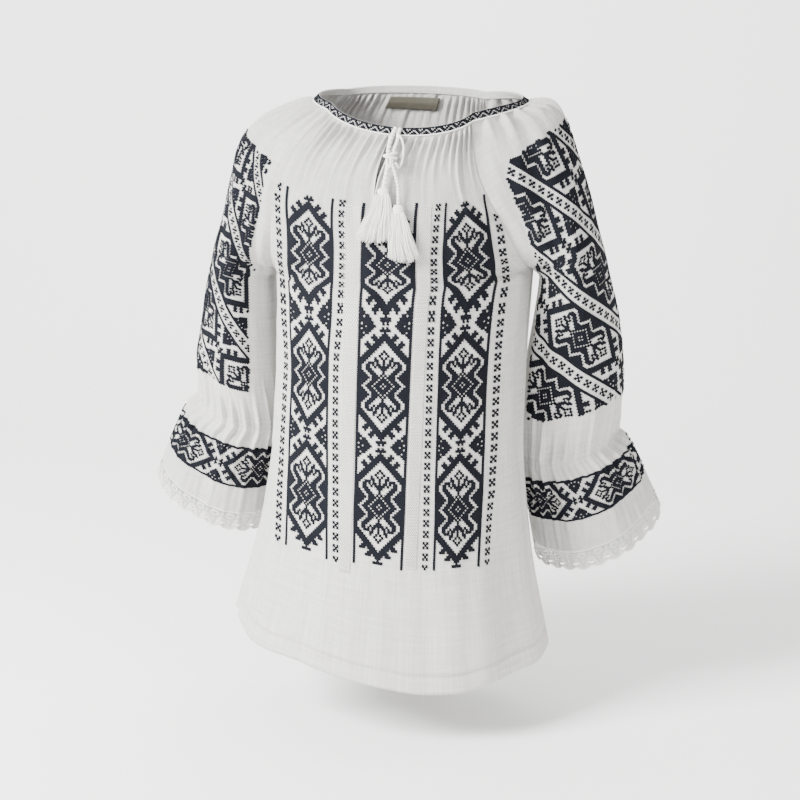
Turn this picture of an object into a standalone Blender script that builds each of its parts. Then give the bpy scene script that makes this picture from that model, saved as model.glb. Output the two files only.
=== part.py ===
"""A Romanian ie: a white cotton blouse with raglan sleeves, filled out as if worn, with no wearer.

Metres, +Z up, the front faces -Y. The origin is the middle of the neck, level with the neckband's top.
"Left" and "right" are as seen from in front, so the left sleeve is on -X.

Every cloth surface is a rule: a sleeve is a stack of ovals, the front and back are arcs between the
seams. Two numbers place a point on a piece. The first runs down the garment: 0 at the neckband, 1 at
the underarm, 2 at the hem or the elastic, 3 at the lace. The second runs across, from -1 to 1.
"""

import math

import bmesh
import bpy
import numpy as np

# Cloth
WALL = 0.0016
HEM_WALL = 0.0026
BAND_WALL = 0.0022
LABEL_WALL = 0.0010
LACE_WALL = 0.0014
SEAM_GAP = 0.00032

# Neckband, label and slit
BAND_HEIGHT = 0.0095
BAND_RISE = 0.6
SLIT_HALF = 0.0055
SLIT_END = 0.5
LABEL_WIDTH = 0.061
LABEL_HEIGHT = 0.017
LABEL_DROP = 0.004
LABEL_COLUMNS = 8

# Gathers, in waves across each piece, and their height at the deepest
PANEL_WAVES = 24
SLEEVE_WAVES = 12
ELASTIC_WAVES = 24
NECK_GATHER = 0.0034
ELASTIC_GATHER = 0.0030
GATHER_UNEVEN = 0.15
# The back is gathered less round its middle, where the label is
BACK_CALM = 0.75
BACK_CALM_HALF = 0.4

# Lace
SCALLOPS = 24
LACE_DEPTH = 0.026
LACE_HOLE_HALF = 0.0034
LACE_HOLE_TOP = 0.0164
LACE_HOLE_BOTTOM = 0.0190
# Each scallop's edge: how far along the scallop, and how far below the frill
SCALLOP_EDGE = ((0.0, 0.0215), (0.20, 0.0235), (0.38, 0.0256), (0.5, LACE_DEPTH), (0.62, 0.0256), (0.80, 0.0235),
                (1.0, 0.0215))

# Cords and tassels
CORD_LEFT = 0.0052
CORD_RIGHT = 0.0040
CORD_ROUNDING = 2
CORD_STEPS = 5
LOCKS_ACROSS = 12
LOCKS_DEEP = 2
LOCK_INSET = 0.00022

# A sleeve's ovals. "in" is the point nearest the body, "out" the one furthest from it, "y" and "half_y"
# the middle and half width from front to back, "angle" how far the oval runs each way from "out",
# "nod" how far its front hangs below its back.
SLEEVE_COLUMNS = ("down", "in_x", "in_z", "out_x", "out_z", "y", "half_y", "angle", "nod")
SLEEVE_RIGHT = (
    (0.00, 0.083, -0.013, 0.141, -0.004, -0.004, 0.072, 50, 10),
    (0.15, 0.085, -0.038, 0.161, -0.003, -0.002, 0.070, 62, 8),
    (0.30, 0.089, -0.064, 0.174, -0.011, 0.001, 0.070, 72, 6),
    (0.50, 0.101, -0.100, 0.188, -0.037, 0.006, 0.069, 88, 4),
    (0.75, 0.125, -0.146, 0.207, -0.095, 0.013, 0.067, 112, 2),
    (0.86, 0.134, -0.171, 0.217, -0.130, 0.016, 0.067, 127, 1),
    (0.93, 0.140, -0.184, 0.223, -0.154, 0.018, 0.067, 142, 0),
    (0.975, 0.144, -0.192, 0.227, -0.170, 0.0195, 0.067, 158, 0),
    (1.00, 0.146, -0.196, 0.229, -0.178, 0.020, 0.067, 180, 0),
    (1.10, 0.153, -0.206, 0.234, -0.200, 0.024, 0.066, 180, 0),
    (1.25, 0.147, -0.250, 0.242, -0.234, 0.034, 0.065, 180, 0),
    (1.50, 0.136, -0.315, 0.251, -0.292, 0.050, 0.061, 180, 3),
    (1.75, 0.131, -0.378, 0.253, -0.346, 0.060, 0.060, 180, 7),
    (2.00, 0.133, -0.434, 0.244, -0.402, 0.065, 0.055, 180, 11),
    (2.15, 0.133, -0.451, 0.262, -0.416, 0.068, 0.061, 180, 14),
    (2.50, 0.138, -0.488, 0.277, -0.446, 0.076, 0.066, 180, 19),
    (3.00, 0.145, -0.533, 0.293, -0.484, 0.084, 0.070, 180, 24),
)
SLEEVE_LEFT = (
    (0.00, -0.084, -0.006, -0.110, -0.001, 0.002, 0.066, 50, 7),
    (0.15, -0.106, -0.028, -0.145, -0.011, 0.003, 0.066, 62, 6),
    (0.30, -0.126, -0.054, -0.178, -0.026, 0.004, 0.067, 72, 5),
    (0.50, -0.143, -0.096, -0.202, -0.052, 0.007, 0.068, 88, 4),
    (0.75, -0.153, -0.148, -0.217, -0.106, 0.013, 0.067, 112, 2),
    (0.86, -0.157, -0.176, -0.225, -0.138, 0.016, 0.067, 127, 1),
    (0.93, -0.159, -0.190, -0.231, -0.158, 0.018, 0.067, 142, 0),
    (0.975, -0.160, -0.199, -0.235, -0.171, 0.0195, 0.067, 158, 0),
    (1.00, -0.161, -0.203, -0.237, -0.178, 0.020, 0.067, 180, 0),
    (1.10, -0.168, -0.213, -0.242, -0.198, 0.023, 0.067, 180, 0),
    (1.25, -0.168, -0.250, -0.251, -0.230, 0.030, 0.067, 180, 0),
    (1.50, -0.165, -0.302, -0.264, -0.278, 0.042, 0.065, 180, 3),
    (1.75, -0.162, -0.352, -0.273, -0.322, 0.050, 0.063, 180, 7),
    (2.00, -0.160, -0.400, -0.271, -0.370, 0.055, 0.055, 180, 11),
    (2.15, -0.162, -0.417, -0.291, -0.381, 0.058, 0.061, 180, 14),
    (2.50, -0.170, -0.453, -0.310, -0.408, 0.066, 0.066, 180, 19),
    (3.00, -0.180, -0.503, -0.330, -0.448, 0.074, 0.070, 180, 23),
)
SLEEVE_ROWS = (0.06, 0.15, 0.30, 0.50, 0.63, 0.75, 0.86, 0.93, 0.975, 1.0, 1.04, 1.10, 1.25, 1.42, 1.60, 1.78)
ELASTIC_ROWS = (1.90, 1.96, 2.0)
FRILL_ROWS = (2.0, 2.12, 2.35, 2.68, 3.0)

# The front and back. "front_y" and "front_z" place the middle of the front, "back_y" and "back_z" that
# of the back, and "arc" is how far each arc runs from its middle.
BODY_COLUMNS = ("down", "front_y", "front_z", "back_y", "back_z", "arc")
BODY = (
    (0.00, -0.077, -0.038, 0.066, 0.003, 70),
    (0.15, -0.085, -0.060, 0.074, -0.020, 62),
    (0.30, -0.092, -0.084, 0.081, -0.046, 58),
    (0.50, -0.101, -0.118, 0.088, -0.088, 50),
    (0.75, -0.110, -0.162, 0.093, -0.142, 43),
    (0.86, -0.112, -0.183, 0.094, -0.168, 44),
    (0.93, -0.113, -0.196, 0.095, -0.183, 55),
    (0.975, -0.1135, -0.204, 0.095, -0.193, 75),
    (1.00, -0.114, -0.208, 0.095, -0.198, 90),
    (1.25, -0.113, -0.300, 0.095, -0.295, 90),
    (1.50, -0.112, -0.400, 0.097, -0.395, 90),
    (1.75, -0.124, -0.520, 0.110, -0.515, 90),
    (2.00, -0.150, -0.675, 0.130, -0.662, 90),
)
# The side seams, from the underarm down
SIDE_COLUMNS = ("down", "left_x", "left_z", "right_x", "right_z", "y")
SIDES = (
    (1.00, -0.161, -0.203, 0.146, -0.196, 0.020),
    (1.10, -0.160, -0.238, 0.144, -0.232, 0.017),
    (1.25, -0.161, -0.290, 0.141, -0.288, 0.012),
    (1.50, -0.165, -0.385, 0.139, -0.395, 0.006),
    (1.75, -0.180, -0.495, 0.149, -0.520, 0.003),
    (2.00, -0.217, -0.627, 0.174, -0.654, 0.002),
)
# How far the hem rises above a plain curve, across the front and the back
HEM_COLUMNS = ("across", "front", "back")
HEM_RISE = (
    (-1.00, 0.000, 0.000),
    (-0.85, 0.016, 0.010),
    (-0.72, 0.025, 0.020),
    (-0.57, 0.014, 0.024),
    (-0.25, 0.030, 0.014),
    (0.02, 0.024, 0.012),
    (0.25, 0.010, 0.018),
    (0.37, 0.008, 0.022),
    (0.44, 0.020, 0.024),
    (0.54, 0.042, 0.026),
    (0.66, 0.056, 0.026),
    (0.80, 0.055, 0.020),
    (0.93, 0.035, 0.010),
    (1.00, 0.000, 0.000),
)
HEM_RISE_START = 1.5
PANEL_FINE_ROWS = (0.06, 0.15, 0.30)
PANEL_ROWS = (0.50, 0.63, 0.75, 0.86, 0.93, 0.975, 1.0, 1.10, 1.25, 1.38, 1.50, 1.62, 1.75, 1.87)
HEM_ROWS = (1.962, 1.965, 2.0)
FOLD_TAPER = 0.7

# The largest folds: troughs that run down a piece. The columns are the piece, the trough's place across
# it, where down the piece it starts and ends, its half width across and its depth.
FOLDS = (
    ("front", -0.83, 1.55, 2.20, 0.07, 0.0085),
    ("front", 0.66, 1.60, 2.20, 0.12, 0.0120),
    ("front", 0.86, 0.95, 1.70, 0.07, 0.0035),
    ("front", -0.45, 1.62, 2.20, 0.13, 0.0045),
    ("front", 0.18, 1.66, 2.20, 0.14, 0.0040),
    ("back", -0.62, 1.15, 2.20, 0.09, 0.0075),
    ("back", -0.18, 1.35, 2.20, 0.11, 0.0060),
    ("back", 0.30, 1.20, 2.20, 0.09, 0.0080),
    ("back", 0.72, 1.45, 2.20, 0.08, 0.0060),
    ("sleeve_left", -0.62, 0.10, 1.30, 0.13, 0.0065),
    ("sleeve_left", -0.30, 1.15, 2.05, 0.12, 0.0050),
    ("sleeve_left", 0.45, 0.60, 1.95, 0.13, 0.0070),
    ("sleeve_right", -0.62, 0.10, 1.25, 0.13, 0.0065),
    ("sleeve_right", -0.55, 1.20, 2.05, 0.11, 0.0060),
    ("sleeve_right", 0.42, 0.55, 1.95, 0.13, 0.0070),
    ("frill_left", -0.42, 2.05, 3.30, 0.10, 0.0060),
    ("frill_left", 0.05, 2.05, 3.30, 0.11, 0.0055),
    ("frill_left", 0.55, 2.05, 3.30, 0.12, 0.0060),
    ("frill_right", -0.70, 2.05, 3.30, 0.10, 0.0060),
    ("frill_right", -0.20, 2.05, 3.30, 0.11, 0.0050),
    ("frill_right", 0.35, 2.05, 3.30, 0.12, 0.0060),
)

# How high the gathers stand, down the neck end of each piece and round the elastic
GATHER_COLUMNS = ("down", "height")
NECK_GATHERS = ((0.00, 0.0), (0.06, 1.0), (0.15, 0.85), (0.30, 0.35), (0.50, 0.0), (3.00, 0.0))
ELASTIC_GATHERS = ((0.00, 0.0), (1.78, 0.0), (1.90, 0.8), (1.96, 1.0), (2.00, 0.5), (2.12, 1.2), (2.35, 0.9),
                   (2.68, 0.6), (3.00, 0.4))

# Cord routes as seen from in front. The columns are x and z on the front panel, and how high the middle of
# the cord is above the cloth.
ROUTE_LEFT = (
    (-0.0029, -0.0300, 0.0004),
    (-0.0029, -0.0365, 0.0040),
    (-0.0040, -0.0440, 0.0078),
    (-0.0064, -0.0570, 0.0074),
    (-0.0066, -0.0710, 0.0070),
    (-0.0084, -0.0840, 0.0066),
    (-0.0100, -0.0960, 0.0066),
)
ROUTE_RIGHT = (
    (0.0026, -0.0305, 0.0002),
    (0.0028, -0.0370, 0.0044),
    (0.0038, -0.0450, 0.0092),
    (0.0010, -0.0570, 0.0132),
    (-0.0010, -0.0680, 0.0136),
    (0.0020, -0.0800, 0.0106),
    (0.0056, -0.0950, 0.0072),
    (0.0066, -0.1140, 0.0062),
)

# Tassels: x and z of the head's top, its width, its height, the fringe's length and half width at the
# tips, and how far the tips swing sideways
TASSEL_LEFT = dict(x=-0.0106, z=-0.0968, width=0.0118, head=0.0070, fringe=0.054, spread=0.0195, swing=-0.0090)
TASSEL_RIGHT = dict(x=0.0066, z=-0.1144, width=0.0116, head=0.0095, fringe=0.055, spread=0.0155, swing=0.0090)
TASSEL_THICK = 0.0052
TASSEL_HEIGHT = 0.0066
# The head's rings: how far up it, and how wide beside the fringe's root
TASSEL_HEAD = ((0.45, 1.12), (0.85, 0.95), (1.0, 0.55))
# The locks: how far down, how much smaller than the row above, and how bunched up front to back
TASSEL_LOCKS = ((0.5, 0.95, 0.875), (1.0, 0.45, 0.75))
TIPS_ROUND = 0.10
TIPS_UNEVEN = 0.06
FAN_BEND = 0.8
SWING_BEND = 1.2
SHARP_EDGE = 50

# Steps for measuring a surface's direction and for finding a place on it
SMALL_STEP = 0.001
SEARCH_STEPS = 20

# Colours: linear red, green and blue, then roughness
COTTON = ((0.80, 0.78, 0.75), 0.86)
LACE_COTTON = ((0.84, 0.83, 0.80), 0.82)
CORD_COTTON = ((0.86, 0.85, 0.82), 0.70)
EMBROIDERY = ((0.018, 0.020, 0.026), 0.62)
LABEL_CLOTH = ((0.30, 0.28, 0.20), 0.55)


def smooth(columns, table, column, at):
    """A table's column at any place down it, on a curve that never overshoots the table's values."""
    x = np.array([row[0] for row in table], float)
    y = np.array([row[columns.index(column)] for row in table], float)
    at = min(max(at, x[0]), x[-1])
    k = min(int(np.searchsorted(x, at, side="right")) - 1, len(x) - 2)
    step = np.diff(x)
    slope = np.diff(y) / step
    bend = np.zeros(len(x))
    for i in range(1, len(x) - 1):
        if slope[i - 1] * slope[i] > 0:
            before, after = 2 * step[i] + step[i - 1], step[i] + 2 * step[i - 1]
            bend[i] = (before + after) / (before / slope[i - 1] + after / slope[i])
    bend[0], bend[-1] = slope[0], slope[-1]
    u = (at - x[k]) / step[k]
    return ((1 + 2 * u) * (1 - u) ** 2 * y[k] + u * (1 - u) ** 2 * step[k] * bend[k]
            + u * u * (3 - 2 * u) * y[k + 1] + u * u * (u - 1) * step[k] * bend[k + 1])


def unit(vector):
    return vector / max(np.linalg.norm(vector), 1e-12)


def sleeve_point(table, down, across):
    """A point on a sleeve or frill: across is 0 on the outside, -1 at the front seam, 1 at the back one."""
    row = {name: smooth(SLEEVE_COLUMNS, table, name, down) for name in SLEEVE_COLUMNS[1:]}
    inner = np.array((row["in_x"], row["y"], row["in_z"]))
    outer = np.array((row["out_x"], row["y"], row["out_z"]))
    angle = math.radians(row["angle"] if down < 1 else 180)
    reach = np.linalg.norm(outer - inner) / (1 - math.cos(angle))
    outward = unit(outer - inner)
    nod = math.radians(row["nod"])
    backward = np.array((0, math.cos(nod), math.sin(nod)))
    turn = across * angle
    return (outer - outward * reach + outward * reach * math.cos(turn)
            + backward * row["half_y"] * math.sin(turn))


def side_point(side, down, edge):
    """The end of a body row: on the raglan seam above the underarm, on the side seam below it."""
    if down < 1:
        return sleeve_point(SLEEVE_LEFT if side < 0 else SLEEVE_RIGHT, down, edge)
    name = "left" if side < 0 else "right"
    return np.array([smooth(SIDE_COLUMNS, SIDES, column, down) for column in (name + "_x", "y", name + "_z")])


def panel_point(face, down, across):
    """A point on the front or back: across runs from the left seam, -1, to the right seam, 1."""
    edge = -1 if face == "front" else 1
    left, right = side_point(-1, down, edge), side_point(1, down, edge)
    arc = math.radians(smooth(BODY_COLUMNS, BODY, "arc", down))
    turn = across * arc
    share = (1 + math.sin(turn) / math.sin(arc)) / 2
    bulge = (math.cos(turn) - math.cos(arc)) / (1 - math.cos(arc))
    middle = (left + right) / 2
    depth = smooth(BODY_COLUMNS, BODY, face + "_y", down) - middle[1]
    drop = smooth(BODY_COLUMNS, BODY, face + "_z", down) - middle[2]
    if down > HEM_RISE_START:
        weight = ((down - HEM_RISE_START) / (2 - HEM_RISE_START)) ** 2
        left = left + np.array((0, 0, weight * smooth(HEM_COLUMNS, HEM_RISE, face, across)))
    return left + (right - left) * share + bulge * np.array((0, depth, drop))


def slit_half(down):
    """Half the slit's width at a place down the front."""
    return SLIT_HALF * max(0.0, 1 - down / SLIT_END)


def gather_height(piece, down, across):
    """How far the gathers lift the cloth at a place on a piece."""
    if piece in ("front", "back"):
        waves = PANEL_WAVES
    else:
        waves = SLEEVE_WAVES if down < 1 else ELASTIC_WAVES
    wave = math.cos(math.pi * waves * (across + 1))
    uneven = 1 - GATHER_UNEVEN * (1 - math.sin(9 * across + 1))
    flat_at_seam = min(1, (1 - abs(across)) * waves)
    neck = NECK_GATHER * smooth(GATHER_COLUMNS, NECK_GATHERS, "height", down)
    elastic = ELASTIC_GATHER * smooth(GATHER_COLUMNS, ELASTIC_GATHERS, "height", down)
    if piece == "back":
        neck *= 1 - BACK_CALM * math.exp(-(across / BACK_CALM_HALF) ** 4)
    if piece in ("front", "back"):
        elastic = 0
    return wave * uneven * flat_at_seam * (neck + elastic)


def fold_height(piece, down, across):
    """How far the large folds sink the cloth at a place on a piece."""
    height = 0.0
    for name, middle, start, end, half_width, depth in FOLDS:
        if name == piece and start < down < end:
            length = math.sin(math.pi * (down - start) / (end - start)) ** FOLD_TAPER
            height -= depth * length * math.exp(-((across - middle) / half_width) ** 2)
    return height


class Sheet:
    """One cut piece of cloth as a single layer of faces, before it gets its thickness."""

    def __init__(self, name):
        self.name = name
        self.points = []
        self.lifts = []
        self.walls = []
        self.faces = []

    def add(self, point, lift=0.0, wall=WALL):
        self.points.append(np.array(point, float))
        self.lifts.append(lift)
        self.walls.append(wall)
        return len(self.points) - 1

    def quad_rows(self, upper, lower, flip):
        """Join two rows of points: one to one, or with twice as many points above as below."""
        pairs = zip(upper, upper[1:])
        if len(upper) == len(lower):
            faces = [(a, b, d, c) for (a, b), (c, d) in zip(pairs, zip(lower, lower[1:]))]
        elif len(upper) == 2 * len(lower) - 1:
            faces = self.fan_rows(upper, lower)
        else:
            faces = [face[::-1] for face in self.fan_rows(lower, upper)]
        self.faces += [face[::-1] if flip else face for face in faces]

    @staticmethod
    def fan_rows(fine, coarse):
        faces = []
        for k in range(len(coarse) - 1):
            a, b, c = fine[2 * k: 2 * k + 3]
            low, high = coarse[k], coarse[k + 1]
            faces += [(a, b, low), (b, high, low), (b, c, high)]
        return faces


def corner_normals(points, faces):
    """The sum, at each point, of its faces' normals, weighted by their area."""
    normals = np.zeros((len(points), 3))
    for face in faces:
        corners = [points[i] for i in face]
        total = np.zeros(3)
        for a, b in zip(corners[1:], corners[2:]):
            total += np.cross(a - corners[0], b - corners[0])
        total = unit(total)
        for k, i in enumerate(face):
            before = unit(points[face[k - 1]] - points[i])
            after = unit(points[face[(k + 1) % len(face)]] - points[i])
            normals[i] += total * math.acos(max(-1.0, min(1.0, float(np.dot(before, after)))))
    return normals


def share_normals(sheets, keys):
    """Pieces that meet at a seam get the same normals there, so their edges stay parallel."""
    total = {}
    for sheet, names in zip(sheets, keys):
        for name, normal in zip(names, corner_normals(sheet.points, sheet.faces)):
            total[name] = total.get(name, 0) + normal
    return [[unit(total[name]) for name in names] for names in keys]


def edge_shifts(sheet, normals, gap):
    """How far each point on the edge moves into its own piece, to leave the seam's gap."""
    used = {}
    for face in sheet.faces:
        for k, i in enumerate(face):
            used[(i, face[(k + 1) % len(face)])] = True
    shifts = [np.zeros(3) for _ in sheet.points]
    inward = {}
    for a, b in used:
        if (b, a) not in used:
            along = unit(sheet.points[b] - sheet.points[a])
            for i in (a, b):
                inward.setdefault(i, []).append(unit(np.cross(normals[i], along)))
    for i, sides in inward.items():
        middle = unit(sum(sides))
        shifts[i] = middle * gap / max(0.5, float(np.dot(middle, sides[0])))
    return shifts, used


def edge_faces(points, a, b, count):
    """Two faces across a wall's edge, cut along the same diagonal on both sides of a seam."""
    if tuple(points[a]) < tuple(points[b]):
        return [(b, a, b + count), (a, a + count, b + count)]
    return [(b, a, a + count), (b, a + count, b + count)]


def thicken(sheet, normals):
    """Points and faces of the closed wall round a sheet."""
    shifts, used = edge_shifts(sheet, normals, SEAM_GAP / 2)
    count = len(sheet.points)
    middle = [point + shift for point, shift in zip(sheet.points, shifts)]
    outer = [p + n * wall / 2 for p, n, wall in zip(middle, normals, sheet.walls)]
    inner = [p - n * wall / 2 for p, n, wall in zip(middle, normals, sheet.walls)]
    faces = [tuple(face) for face in sheet.faces]
    faces += [tuple(i + count for i in reversed(face)) for face in sheet.faces]
    for a, b in used:
        if (b, a) not in used:
            faces += edge_faces(sheet.points, a, b, count)
    return outer + inner, faces


def material(name, finish):
    """A Principled material of one colour and roughness."""
    colour, roughness = finish
    made = bpy.data.materials.new(name)
    made.use_nodes = True
    shader = made.node_tree.nodes["Principled BSDF"]
    shader.inputs["Base Color"].default_value = (*colour, 1)
    shader.inputs["Roughness"].default_value = roughness
    shader.inputs["Metallic"].default_value = 0
    return made


def add_object(name, points, faces, finish):
    """A smooth mesh object with its own material."""
    mesh = bpy.data.meshes.new(name)
    mesh.from_pydata([tuple(p) for p in points], [], faces)
    mesh.validate()
    built = bpy.data.objects.new(name, mesh)
    bpy.context.scene.collection.objects.link(built)
    mesh.materials.append(material(name, finish))
    mesh.shade_smooth()
    mesh.set_sharp_from_angle(angle=math.radians(SHARP_EDGE))
    return built


def spaced(count, start=-1.0, end=1.0):
    return [start + (end - start) * k / count for k in range(count + 1)]


def panel(face):
    """The front or back: fine columns where it is gathered, coarser ones elsewhere, a thicker hem."""
    sheet = Sheet(face)
    flip = face == "front"
    fine, coarse = 2 * PANEL_WAVES, PANEL_WAVES
    rows = [(0, coarse)] + [(down, fine) for down in PANEL_FINE_ROWS]
    rows += [(down, coarse) for down in PANEL_ROWS + HEM_ROWS]
    halves = []
    for down, columns in rows:
        wall = HEM_WALL if down >= HEM_ROWS[1] else WALL
        row = []
        for across in spaced(columns):
            lift = gather_height(face, down, across) + fold_height(face, down, across)
            row.append((panel_point(face, down, across), lift, wall))
        middle = columns // 2
        if face == "front" and down < SLIT_END:
            shift = np.array((slit_half(down), 0, 0))
            split = row[middle]
            left = [sheet.add(*item) for item in row[:middle]]
            left.append(sheet.add(split[0] - shift, split[1], wall))
            right = [sheet.add(split[0] + shift, split[1], wall)]
            right += [sheet.add(*item) for item in row[middle + 1:]]
        else:
            whole = [sheet.add(*item) for item in row]
            left, right = whole[:middle + 1], whole[middle:]
        halves.append((left, right))
    for upper, lower in zip(halves, halves[1:]):
        for above, below in zip(upper, lower):
            sheet.quad_rows(above, below, flip)
    return sheet


def tube_row(sheet, piece, table, down, columns):
    """One row of a sleeve or frill. Below the underarm its two ends are the same point."""
    row = []
    for across in spaced(columns):
        if down >= 1 and across == 1:
            row.append(row[0])
            continue
        lift = gather_height(piece, down, across) + fold_height(piece, down, across)
        row.append(sheet.add(sleeve_point(table, down, across), lift))
    return row


def tube(piece, table, rows, flip):
    """A sleeve or a frill from its rows, each with its own number of columns."""
    sheet = Sheet(piece)
    made = [tube_row(sheet, piece, table, down, columns) for down, columns in rows]
    for upper, lower in zip(made, made[1:]):
        sheet.quad_rows(upper, lower, flip)
    sheet.faces = [face for face in sheet.faces if len(set(face)) > 2]
    return sheet


def sleeve(side, table):
    rows = [(0, SLEEVE_WAVES)] + [(down, 2 * SLEEVE_WAVES) for down in SLEEVE_ROWS]
    rows += [(down, 2 * ELASTIC_WAVES) for down in ELASTIC_ROWS]
    return tube("sleeve_" + side, table, rows, side == "right")


def frill(side, table):
    return tube("frill_" + side, table, [(down, 2 * ELASTIC_WAVES) for down in FRILL_ROWS], side == "right")


def lace_place(table, piece, across, depth):
    """A point on the lace: below the frill's edge, in line with it."""
    edge = sleeve_point(table, FRILL_ROWS[-1], across)
    above = sleeve_point(table, FRILL_ROWS[-2], across)
    lift = gather_height(piece, FRILL_ROWS[-1], across) + fold_height(piece, FRILL_ROWS[-1], across)
    return edge + unit(edge - above) * depth, lift


def lace(side, table, half):
    """Half a cuff's lace: scallops with one long hole between each two, cut through."""
    sheet = Sheet("lace_" + side + "_" + half)
    piece = "frill_" + side
    start = -1.0 if half == "front" else 0.0
    step = 1.0 / (SCALLOPS // 2)
    span = np.linalg.norm(lace_place(table, piece, step, 0)[0] - lace_place(table, piece, 0, 0)[0])
    made = {}

    def at(scallop, offset, depth):
        key = (round((scallop + offset) * 1000), depth)
        if key not in made:
            point, lift = lace_place(table, piece, start + (scallop + offset) * step, depth)
            made[key] = sheet.add(point, lift, LACE_WALL)
        return made[key]

    hole = LACE_HOLE_HALF / span
    hole_middle = (LACE_HOLE_TOP + LACE_HOLE_BOTTOM) / 2
    for k in range(SCALLOPS // 2):
        top = [at(k, offset, 0.0) for offset in (0.0, 0.5, 1.0)]
        rim = [at(k, *place) for place in SCALLOP_EDGE]
        crown = at(k, 0.5, LACE_HOLE_TOP)
        left_hole = [at(k, 0.0, LACE_HOLE_TOP), at(k, hole, hole_middle), at(k, 0.0, LACE_HOLE_BOTTOM)]
        right_hole = [at(k, 1.0, LACE_HOLE_TOP), at(k, 1 - hole, hole_middle), at(k, 1.0, LACE_HOLE_BOTTOM)]
        faces = [
            (top[0], top[1], crown, left_hole[0]),
            (top[1], top[2], right_hole[0], crown),
            (left_hole[0], crown, left_hole[1]),
            (right_hole[0], right_hole[1], crown),
            (left_hole[1], rim[1], rim[0], left_hole[2]),
            (right_hole[1], right_hole[2], rim[6], rim[5]),
            (left_hole[1], crown, rim[2], rim[1]),
            (right_hole[1], rim[5], rim[4], crown),
            (crown, rim[4], rim[3], rim[2]),
        ]
        sheet.faces += [face[::-1] for face in faces] if side == "right" else faces
    return sheet


def band_column(point, below):
    """The neckband's two points over a point of the neckline."""
    upward = unit(unit(point - below) + np.array((0, 0, BAND_RISE)))
    return point, point + upward * BAND_HEIGHT


def neckband():
    """A narrow band along the neckline, from one side of the slit round to the other."""
    line = []
    next_row = PANEL_FINE_ROWS[0]
    panel_places = spaced(PANEL_WAVES)
    sleeve_places = spaced(SLEEVE_WAVES)

    def add_panel(face, places):
        for across in places:
            shift = np.zeros(3)
            if across == 0 and face == "front":
                shift[0] = slit_half(0) if not line else -slit_half(0)
            pair = [panel_point(face, down, across) + shift for down in (0, next_row)]
            line.append(band_column(*pair))

    def add_sleeve(table, places):
        for across in places:
            line.append(band_column(*[sleeve_point(table, down, across) for down in (0, next_row)]))

    middle = PANEL_WAVES // 2
    add_panel("front", panel_places[middle:-1])
    add_sleeve(SLEEVE_RIGHT, sleeve_places[:-1])
    add_panel("back", panel_places[:0:-1])
    add_sleeve(SLEEVE_LEFT, sleeve_places[:0:-1])
    add_panel("front", panel_places[:middle + 1])
    sheet = Sheet("neckband")
    lower = [sheet.add(low, 0, BAND_WALL) for low, high in line]
    upper = [sheet.add(high, 0, BAND_WALL) for low, high in line]
    sheet.quad_rows(upper, lower, True)
    return sheet


def label():
    """A blank label, sewn inside the back just under the neckband."""
    sheet = Sheet("label")
    rows = []
    half = LABEL_WIDTH / 2
    top = panel_point("back", 0, 0)
    tall = np.linalg.norm(panel_point("back", SMALL_STEP, 0) - top) / SMALL_STEP
    wide = np.linalg.norm(panel_point("back", 0, SMALL_STEP) - top) / SMALL_STEP
    room = WALL / 2 + LABEL_WALL / 2 + 2 * SEAM_GAP + (1 - BACK_CALM) * NECK_GATHER
    for drop in (LABEL_DROP, LABEL_DROP + LABEL_HEIGHT / 2, LABEL_DROP + LABEL_HEIGHT):
        down = drop / tall
        row = []
        for across in spaced(LABEL_COLUMNS, -half / wide, half / wide):
            here = panel_point("back", down, across)
            beside = panel_point("back", down, across + SMALL_STEP)
            below = panel_point("back", down + SMALL_STEP, across)
            outward = unit(np.cross(beside - here, below - here))
            row.append(sheet.add(here - outward * room, 0, LABEL_WALL))
        rows.append(row)
    for upper, lower in zip(rows, rows[1:]):
        sheet.quad_rows(upper, lower, False)
    return sheet


def front_frame(x, z):
    """The front panel's surface and outward direction at a place seen from in front."""
    down, across = SLIT_END, 0.0
    for _ in range(SEARCH_STEPS):
        here = panel_point("front", down, across)
        by_down = (panel_point("front", down + SMALL_STEP, across) - here) / SMALL_STEP
        by_across = (panel_point("front", down, across + SMALL_STEP) - here) / SMALL_STEP
        miss = np.array((x - here[0], z - here[2]))
        step = np.linalg.solve(np.array(((by_down[0], by_across[0]), (by_down[2], by_across[2]))), miss)
        down, across = max(0.0, down + step[0]), across + step[1]
    return here, unit(np.cross(by_down, by_across))


def band_frame(x, z):
    """The same for a place level with the neckband, above the front panel."""
    across = 0.0
    for _ in range(SEARCH_STEPS):
        here = panel_point("front", 0, across)
        by_across = (panel_point("front", 0, across + SMALL_STEP) - here) / SMALL_STEP
        across += (x - here[0]) / by_across[0]
    low, high = band_column(here, panel_point("front", PANEL_FINE_ROWS[0], across))
    upward = high - low
    return low + upward * (z - low[2]) / upward[2], unit(np.cross(by_across, upward))


def on_front(x, z, height):
    """A point above the front panel or its neckband, seen from in front at x and z."""
    above = z > panel_point("front", 0, 0)[2]
    here, outward = band_frame(x, z) if above else front_frame(x, z)
    return here + outward * height


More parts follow.
